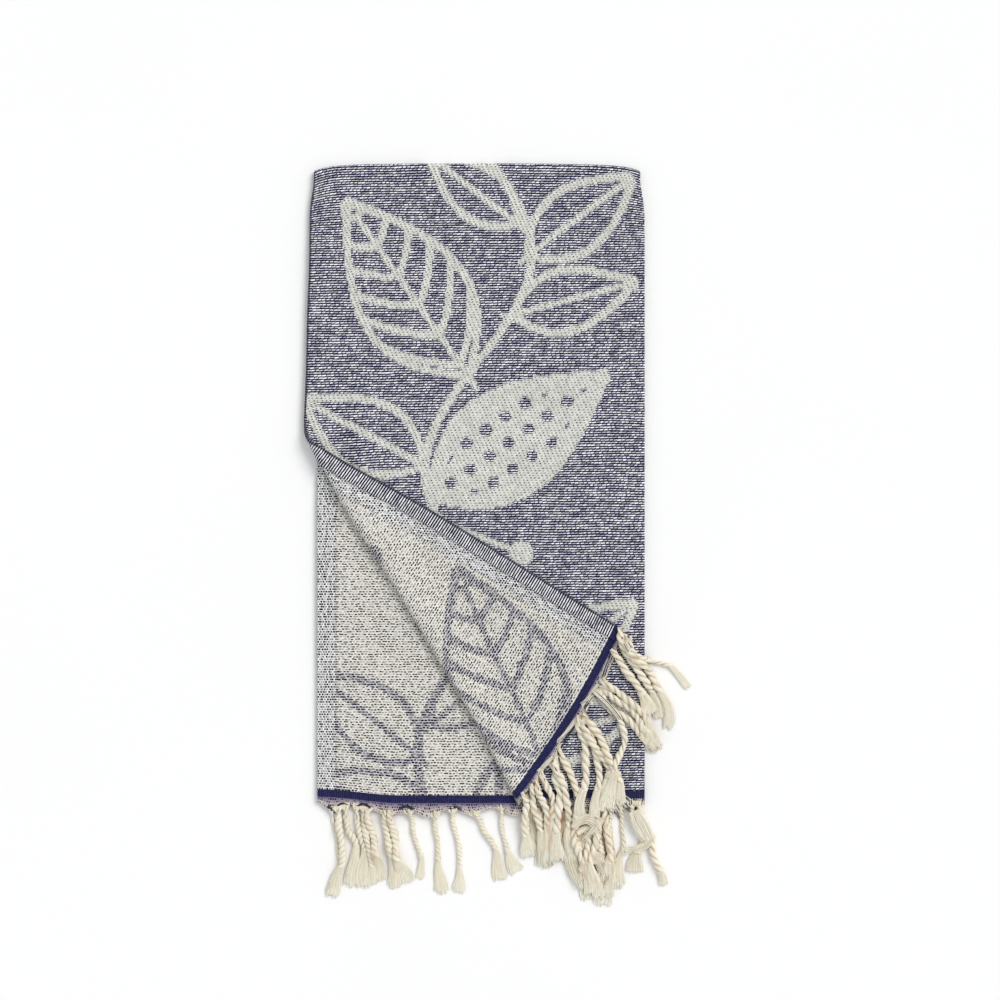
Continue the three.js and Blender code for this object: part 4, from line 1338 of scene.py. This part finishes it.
FLAP_STRANDS = [
    # threads, half depth, share of navy, route with half widths
    (6, 1.2, 0.1, [(599, 684, 1.7), (591, 695, 1.7), (581, 705, 1.4)]),
    (6, 1.2, 0.1, [(579, 716, 1.8), (569, 729, 1.7), (557, 743, 1.4)]),
    (6, 1.2, 0.1, [(553, 757, 1.7), (545, 765, 1.7), (538, 772, 1.3)]),
    (5, 1.0, 0.6, [(597, 688, 1.5), (590, 699, 1.5), (583, 709, 1.3)]),
    (5, 1.0, 0.6, [(576, 722, 1.5), (569, 733, 1.5), (562, 743, 1.3)]),
    (8, 1.2, 0.6, [(604, 676, 2.5), (608, 664, 2.5), (612, 654, 2.0)]),
]
FLAP_SKEINS = [
    # threads, half depth, share of navy, route with half widths
    (7, 2.8, 0, [(573, 828, 2.5), (579, 821, 4.2), (588, 818.5, 4.8), (596, 823, 4.5), (601, 831, 3)]),
    (5, 2.2, 0, [(577, 834, 2), (585, 829, 2.8), (593, 829, 3.2), (599, 836, 2.4)]),
    (7, 2.2, 0, [(604, 818, 2), (598, 824, 3.2), (590, 833, 3), (584, 842, 2)]),
    (12, 2.6, 0, [(592, 851, 2), (597, 857, 5), (603, 867, 6), (605, 879, 5)]),
    (7, 2.2, 0, [(584, 866, 2), (592, 861, 3.2), (602, 861, 3), (611, 866, 2)]),
    (7, 2.2, 0, [(612, 850, 2), (609, 860, 3.5), (606, 871, 4), (603, 882, 3)]),
    (5, 2.0, 0, [(580, 871, 2), (586, 865, 3.2), (593, 869, 2)]),
    (5, 1.6, 0, [(606, 776, 2), (612, 772.5, 3), (619, 776, 2)]),
    (30, 1.2, 0.3, [(610, 786, 2.5), (614, 795, 6), (621, 805, 10), (628, 813, 12.5)]),
    (18, 1.4, 0.0, [(608, 784, 3), (611, 794, 6), (614, 804, 8.5), (617, 813, 9)]),
]
FLAP_FANS = [
    # place where the threads meet, half width of hem, threads, share of navy
    ((600, 685), 15, 40, 0.35),
    ((581, 716), 15, 40, 0.4),
    ((557, 756), 14, 36, 0.4),
    ((543, 774), 9, 24, 0.55),
    ((529, 789), 9, 24, 0.55),
    ((614, 653), 9, 24, 0.6),
    ((621, 632), 8, 16, 0.4),
]


# %% Hem lines
HEM_PLACES, HEM_INSET, FAN_INSET = 400, 3.0, 5.5


def hem_line(first_column, last_column):
    """Places along the hem of the front, from one column to another."""
    column = np.linspace(first_column, last_column, HEM_PLACES)
    x, _ = section(column, 0, turned_margin(FRONT_HEM + 0 * column))
    return fold_cloth(column, 0 * column, 0.0, lobes(column, x))


turn_column = ROLL_END + (UPPER_END - ROLL_END) * (TURN_FOOT[0] - ROLL_X) / (FOLD_X - ROLL_X)
HEMS = {
    "under": hem_line(UNDER_END, FOLD_END),
    "front": hem_line(turn_column + 0.4, UPPER_END),
    "flap": hem_line(ROLL_END - 1, turn_column - 0.6),
}


def hem_gather(hem, root, half_width, threads=THREADS, inset=HEM_INSET):
    """Places on the hem within half_width of the place nearest to root, and the way out of the cloth."""
    line = HEMS[hem][:, :2]
    run = run_along(line)
    nearest = np.argmin(np.linalg.norm(line - root, axis=1))
    at = np.clip(run[nearest] + np.linspace(-1, 1, threads) * half_width, 0, run[-1])
    places = np.stack([np.interp(at, run, line[:, k]) for k in (0, 1)], 1)
    low, high = max(nearest - 6, 0), min(nearest + 6, len(line) - 1)
    along = (line[high] - line[low]) / np.linalg.norm(line[high] - line[low])
    away = np.array([along[1], -along[0]])
    return places - away * inset, away


def fan(bundle, hem, meeting, half_width, threads, navy_share):
    """Loose threads from the navy band to one place: straight lines that bow up a little."""
    end = from_picture(meeting)
    places, _ = hem_gather(hem, end, half_width * PIXEL, threads, FAN_INSET)
    start = np.concatenate([places, ground[cell_of(places)][:, None] + 0.5], 1)
    stop = np.append(end, ground[cell_of(end)] + 1.5) + chance.normal(0, 0.7, (threads, 3)) * (1, 1, 0.3)
    t = np.linspace(0, 1, 7)[None, :, None]
    line = start[:, None] * (1 - t) + stop[:, None] * t
    line[..., 2] += np.sin(math.pi * t[..., 0]) * chance.uniform(0.3, 1.2, (threads, 1))
    navy = some_navy(threads, navy_share)
    size = chance.uniform(0.65, 1.05, threads)[:, None]
    bundle.tubes(line, size, sides=4, tone=chance.uniform(0.3, 0.7, threads), navy=navy)


# %% Building a fringe
TURN_SHARE, TURN_LEAST = 1.15, 2.6
LEFT_TWIST = 0.7
ROOT_THIN = 0.42


def fringe(bundle, hem, cords, navy_share, slack):
    """Lays each cord of a table on the map, and adds its root, its plies, its knot and its tuft. Its
    plies go round once in (TURN_SHARE · thickness + TURN_LEAST) · slack of its length."""
    for thickness, gathers, knotted, flare, to_neck, to_end in cords:
        thick = thickness * PIXEL
        points = from_picture(to_neck + to_end)
        neck_at = np.linalg.norm(np.diff(points[: len(to_neck)], axis=0), axis=1).sum()
        plan, at = curve_through(points)
        wander = 0.9 * np.sin(at / 9 + chance.uniform(0, 6)) * smooth(at / 20)
        plan = plan + sideways(plan) * wander[:, None]
        half = thick / 2
        wide = np.interp(at, [0, neck_at, at[-1]], [half, half, max(half, flare * PIXEL * 0.35)])
        high = np.interp(at, [0, ROOT_LONG, neck_at, at[-1]], [half * 0.5, half, half, half * 0.35])
        height = rest_on_map(plan, high, wide / high)
        path = np.concatenate([plan, height[:, None]], 1)
        neck = np.searchsorted(at, neck_at)
        tone = chance.uniform(0.35, 0.65)
        side = 1 if chance.uniform() < LEFT_TWIST else -1
        turn = side * (TURN_SHARE * thick + TURN_LEAST) * slack
        swell = 1 + 0.09 * np.sin(at[: neck + 1] / 6 + chance.uniform(0, 6))
        swell = swell * (ROOT_THIN + (1 - ROOT_THIN) * smooth(at[: neck + 1] / ROOT_LONG))
        twisted(bundle, path[: neck + 1], thick * swell, turn, chance.uniform(0, 6), tone)
        tuft(bundle, path[neck - 1:], half * 0.85, flare * PIXEL / 2, tone)
        if knotted:
            knot(bundle, path[neck], path[neck] - path[neck - 2], half * 0.95, tone)
        if gathers:
            places, away = hem_gather(hem, points[0], gathers * PIXEL)
            gathered_root(bundle, places, away, path, thick, navy_share, tone)
        press_on_map(path[: neck + 1], half)
        press_on_map(path[neck:], wide[neck:], 0.0)


def hang_piece(name, bundle, node):
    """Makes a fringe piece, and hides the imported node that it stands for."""
    piece = bpy.data.objects.new(name, bundle.mesh(name))
    # Each point's share of painted brown shade, from its depth in the pile.
    attribute = piece.data.attributes.new("painted_pile_shade", "FLOAT", "POINT")
    attribute.data.foreach_set("value", painted_pile_shade(np.concatenate(bundle.points)).astype(np.float32))
    piece.data.materials.append(yarn_material)
    bpy.context.scene.collection.objects.link(piece)
    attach(piece, "root")
    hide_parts(node)
    triangles = sum(2 * len(quads) for quads in bundle.quads)
    triangles += sum(len(caps) * (caps.shape[1] - 2) for caps in bundle.caps)
    highest = np.concatenate(bundle.points)[:, 2].max().round(1)
    print(name, "triangles:", triangles, "highest mm:", highest)
    return piece


# %% [markdown]
# The yarn is unbleached cotton: cream, a little warmer where it lies in shade, with fine lines
# along each ply. Each thread has its own tone, held in the mesh, and a few threads are navy. The
# grooves between the plies and the yarn deep in the pile get a painted brown shade, which stands
# in for that warm shade.


# %% Yarn
YARN_LIGHT, YARN_DEEP = srgb(252, 249, 234), srgb(222, 209, 180)
YARN_NAVY = srgb(30, 32, 70)
# Colours of painted shade: the grooves between plies, and yarn deep in the pile.
YARN_GROOVE_SHADE = srgb(172, 130, 86)
YARN_PILE_SHADE = srgb(206, 158, 108)


def yarn_finish(start):
    """Cream with lines along the ply; its tone is a share between two creams; painted brown shade in the
    grooves between plies and deep in the pile; navy threads are set apart.
    """
    tone = start.node("ShaderNodeAttribute", {"attribute_name": "tone"}, output="Fac")
    navy = start.node("ShaderNodeAttribute", {"attribute_name": "navy"}, output="Fac")
    yarn = start.node("ShaderNodeAttribute", {"attribute_name": "yarn"}, output="Vector")
    split = start.node("ShaderNodeSeparateXYZ", {}, {"Vector": yarn})
    along = split.part("Y")
    place = start.node("ShaderNodeCombineXYZ", {}, {"X": split * 2.2 + along * 0.35, "Y": along * 0.12})
    lines = start.node("ShaderNodeTexNoise", {}, {"Vector": place, "Scale": 1.0, "Detail": 3.0})
    share = (tone * 0.7 + lines * 0.6).least(1)
    cream = (1 - share).blend(YARN_LIGHT, YARN_DEEP)
    # Painted shade: the grooves between the plies are tinted brown.
    cream = (split.part("Z") * (lines * 1.1 + 0.25)).least(0.85).blend(cream, YARN_GROOVE_SHADE)
    # Painted shade: yarn deep in the pile is tinted brown.
    deep = start.node("ShaderNodeAttribute", {"attribute_name": "painted_pile_shade"}, output="Fac")
    cream = (deep * (lines * 0.8 + 0.6)).least(0.95).blend(cream, YARN_PILE_SHADE)
    colour = navy.blend(cream, YARN_NAVY)
    return colour, 0.9 - lines * 0.1, lines, 0.0006, 0.3


yarn_material = finish("cotton yarn", yarn_finish)

# %% The visible fringes
under_bundle, front_bundle, flap_bundle = Bundle(), Bundle(), Bundle()
for row in BOTTOM_SKEINS:
    skein(under_bundle, *row)
fringe(under_bundle, "under", UNDER_CORDS, 0.2, 1.1)
for row in UNDER_SKEINS + HEM_ARCS:
    skein(under_bundle, *row)
for row in FRONT_FANS:
    fan(front_bundle, "front", *row)
fringe(front_bundle, "front", FRONT_CORDS, 0.5, 1.7)
for row in FRONT_SKEINS:
    skein(front_bundle, *row)
for row in FLAP_FANS:
    fan(flap_bundle, "flap", *row)
for row in FLAP_STRANDS:
    skein(flap_bundle, *row)
fringe(flap_bundle, "flap", FLAP_CORDS, 0.3, 1.8)
for row in FLAP_SKEINS:
    skein(flap_bundle, *row)
fringe_under = hang_piece("fringe_under_cords", under_bundle, "fringe_under")
fringe_front = hang_piece("fringe_front_cords", front_bundle, "fringe_front")
fringe_flap = hang_piece("fringe_flap_cords", flap_bundle, "fringe_flap")

# %% [markdown]
# ## The hidden fringe
#
# The back half of the towel is a little shorter, so its own fringe lies out of sight beneath the
# front. It has the same twisted cords, pressed thin between the layers, with small tufts.

# %% Back fringes
BACK_COUNT, BACK_INSET = 18, 8
BACK_STEPS, BACK_NECK = 38, 27
BACK_THICK, BACK_TURN, BACK_TONE = 3.6, 7.0, 0.5
BACK_TUFT_NECK, BACK_TUFT_FLARE = 1.3, 3.4


def back_fringe(node):
    """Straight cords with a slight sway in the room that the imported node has."""
    low, high = (np.array(corner) * 1000 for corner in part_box(node))
    bundle = Bundle()
    middle = np.full(BACK_STEPS, (low[2] + high[2]) / 2)
    thick = np.full(BACK_NECK, BACK_THICK)
    y = np.linspace(high[1] - 1, low[1] + 1, BACK_STEPS)
    for number in range(BACK_COUNT):
        x = low[0] + BACK_INSET + (high[0] - low[0] - 2 * BACK_INSET) * number / (BACK_COUNT - 1)
        bend = 1.5 * np.sin(number * 1.9 + y / 30)
        path = np.stack([x + bend, y, middle], 1)
        twisted(bundle, path[:BACK_NECK], thick, BACK_TURN, number, BACK_TONE)
        tuft(bundle, path[BACK_NECK - 1:], BACK_TUFT_NECK, BACK_TUFT_FLARE, BACK_TONE)
    return bundle


back_pieces = [
    hang_piece("fringe_back_inner_cords", back_fringe("fringe_back_inner"), "fringe_back_inner"),
    hang_piece("fringe_back_outer_cords", back_fringe("fringe_back_outer"), "fringe_back_outer"),
]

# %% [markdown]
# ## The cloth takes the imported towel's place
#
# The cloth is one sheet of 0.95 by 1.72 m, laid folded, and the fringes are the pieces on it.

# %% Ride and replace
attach(towel, "root")
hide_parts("towel")
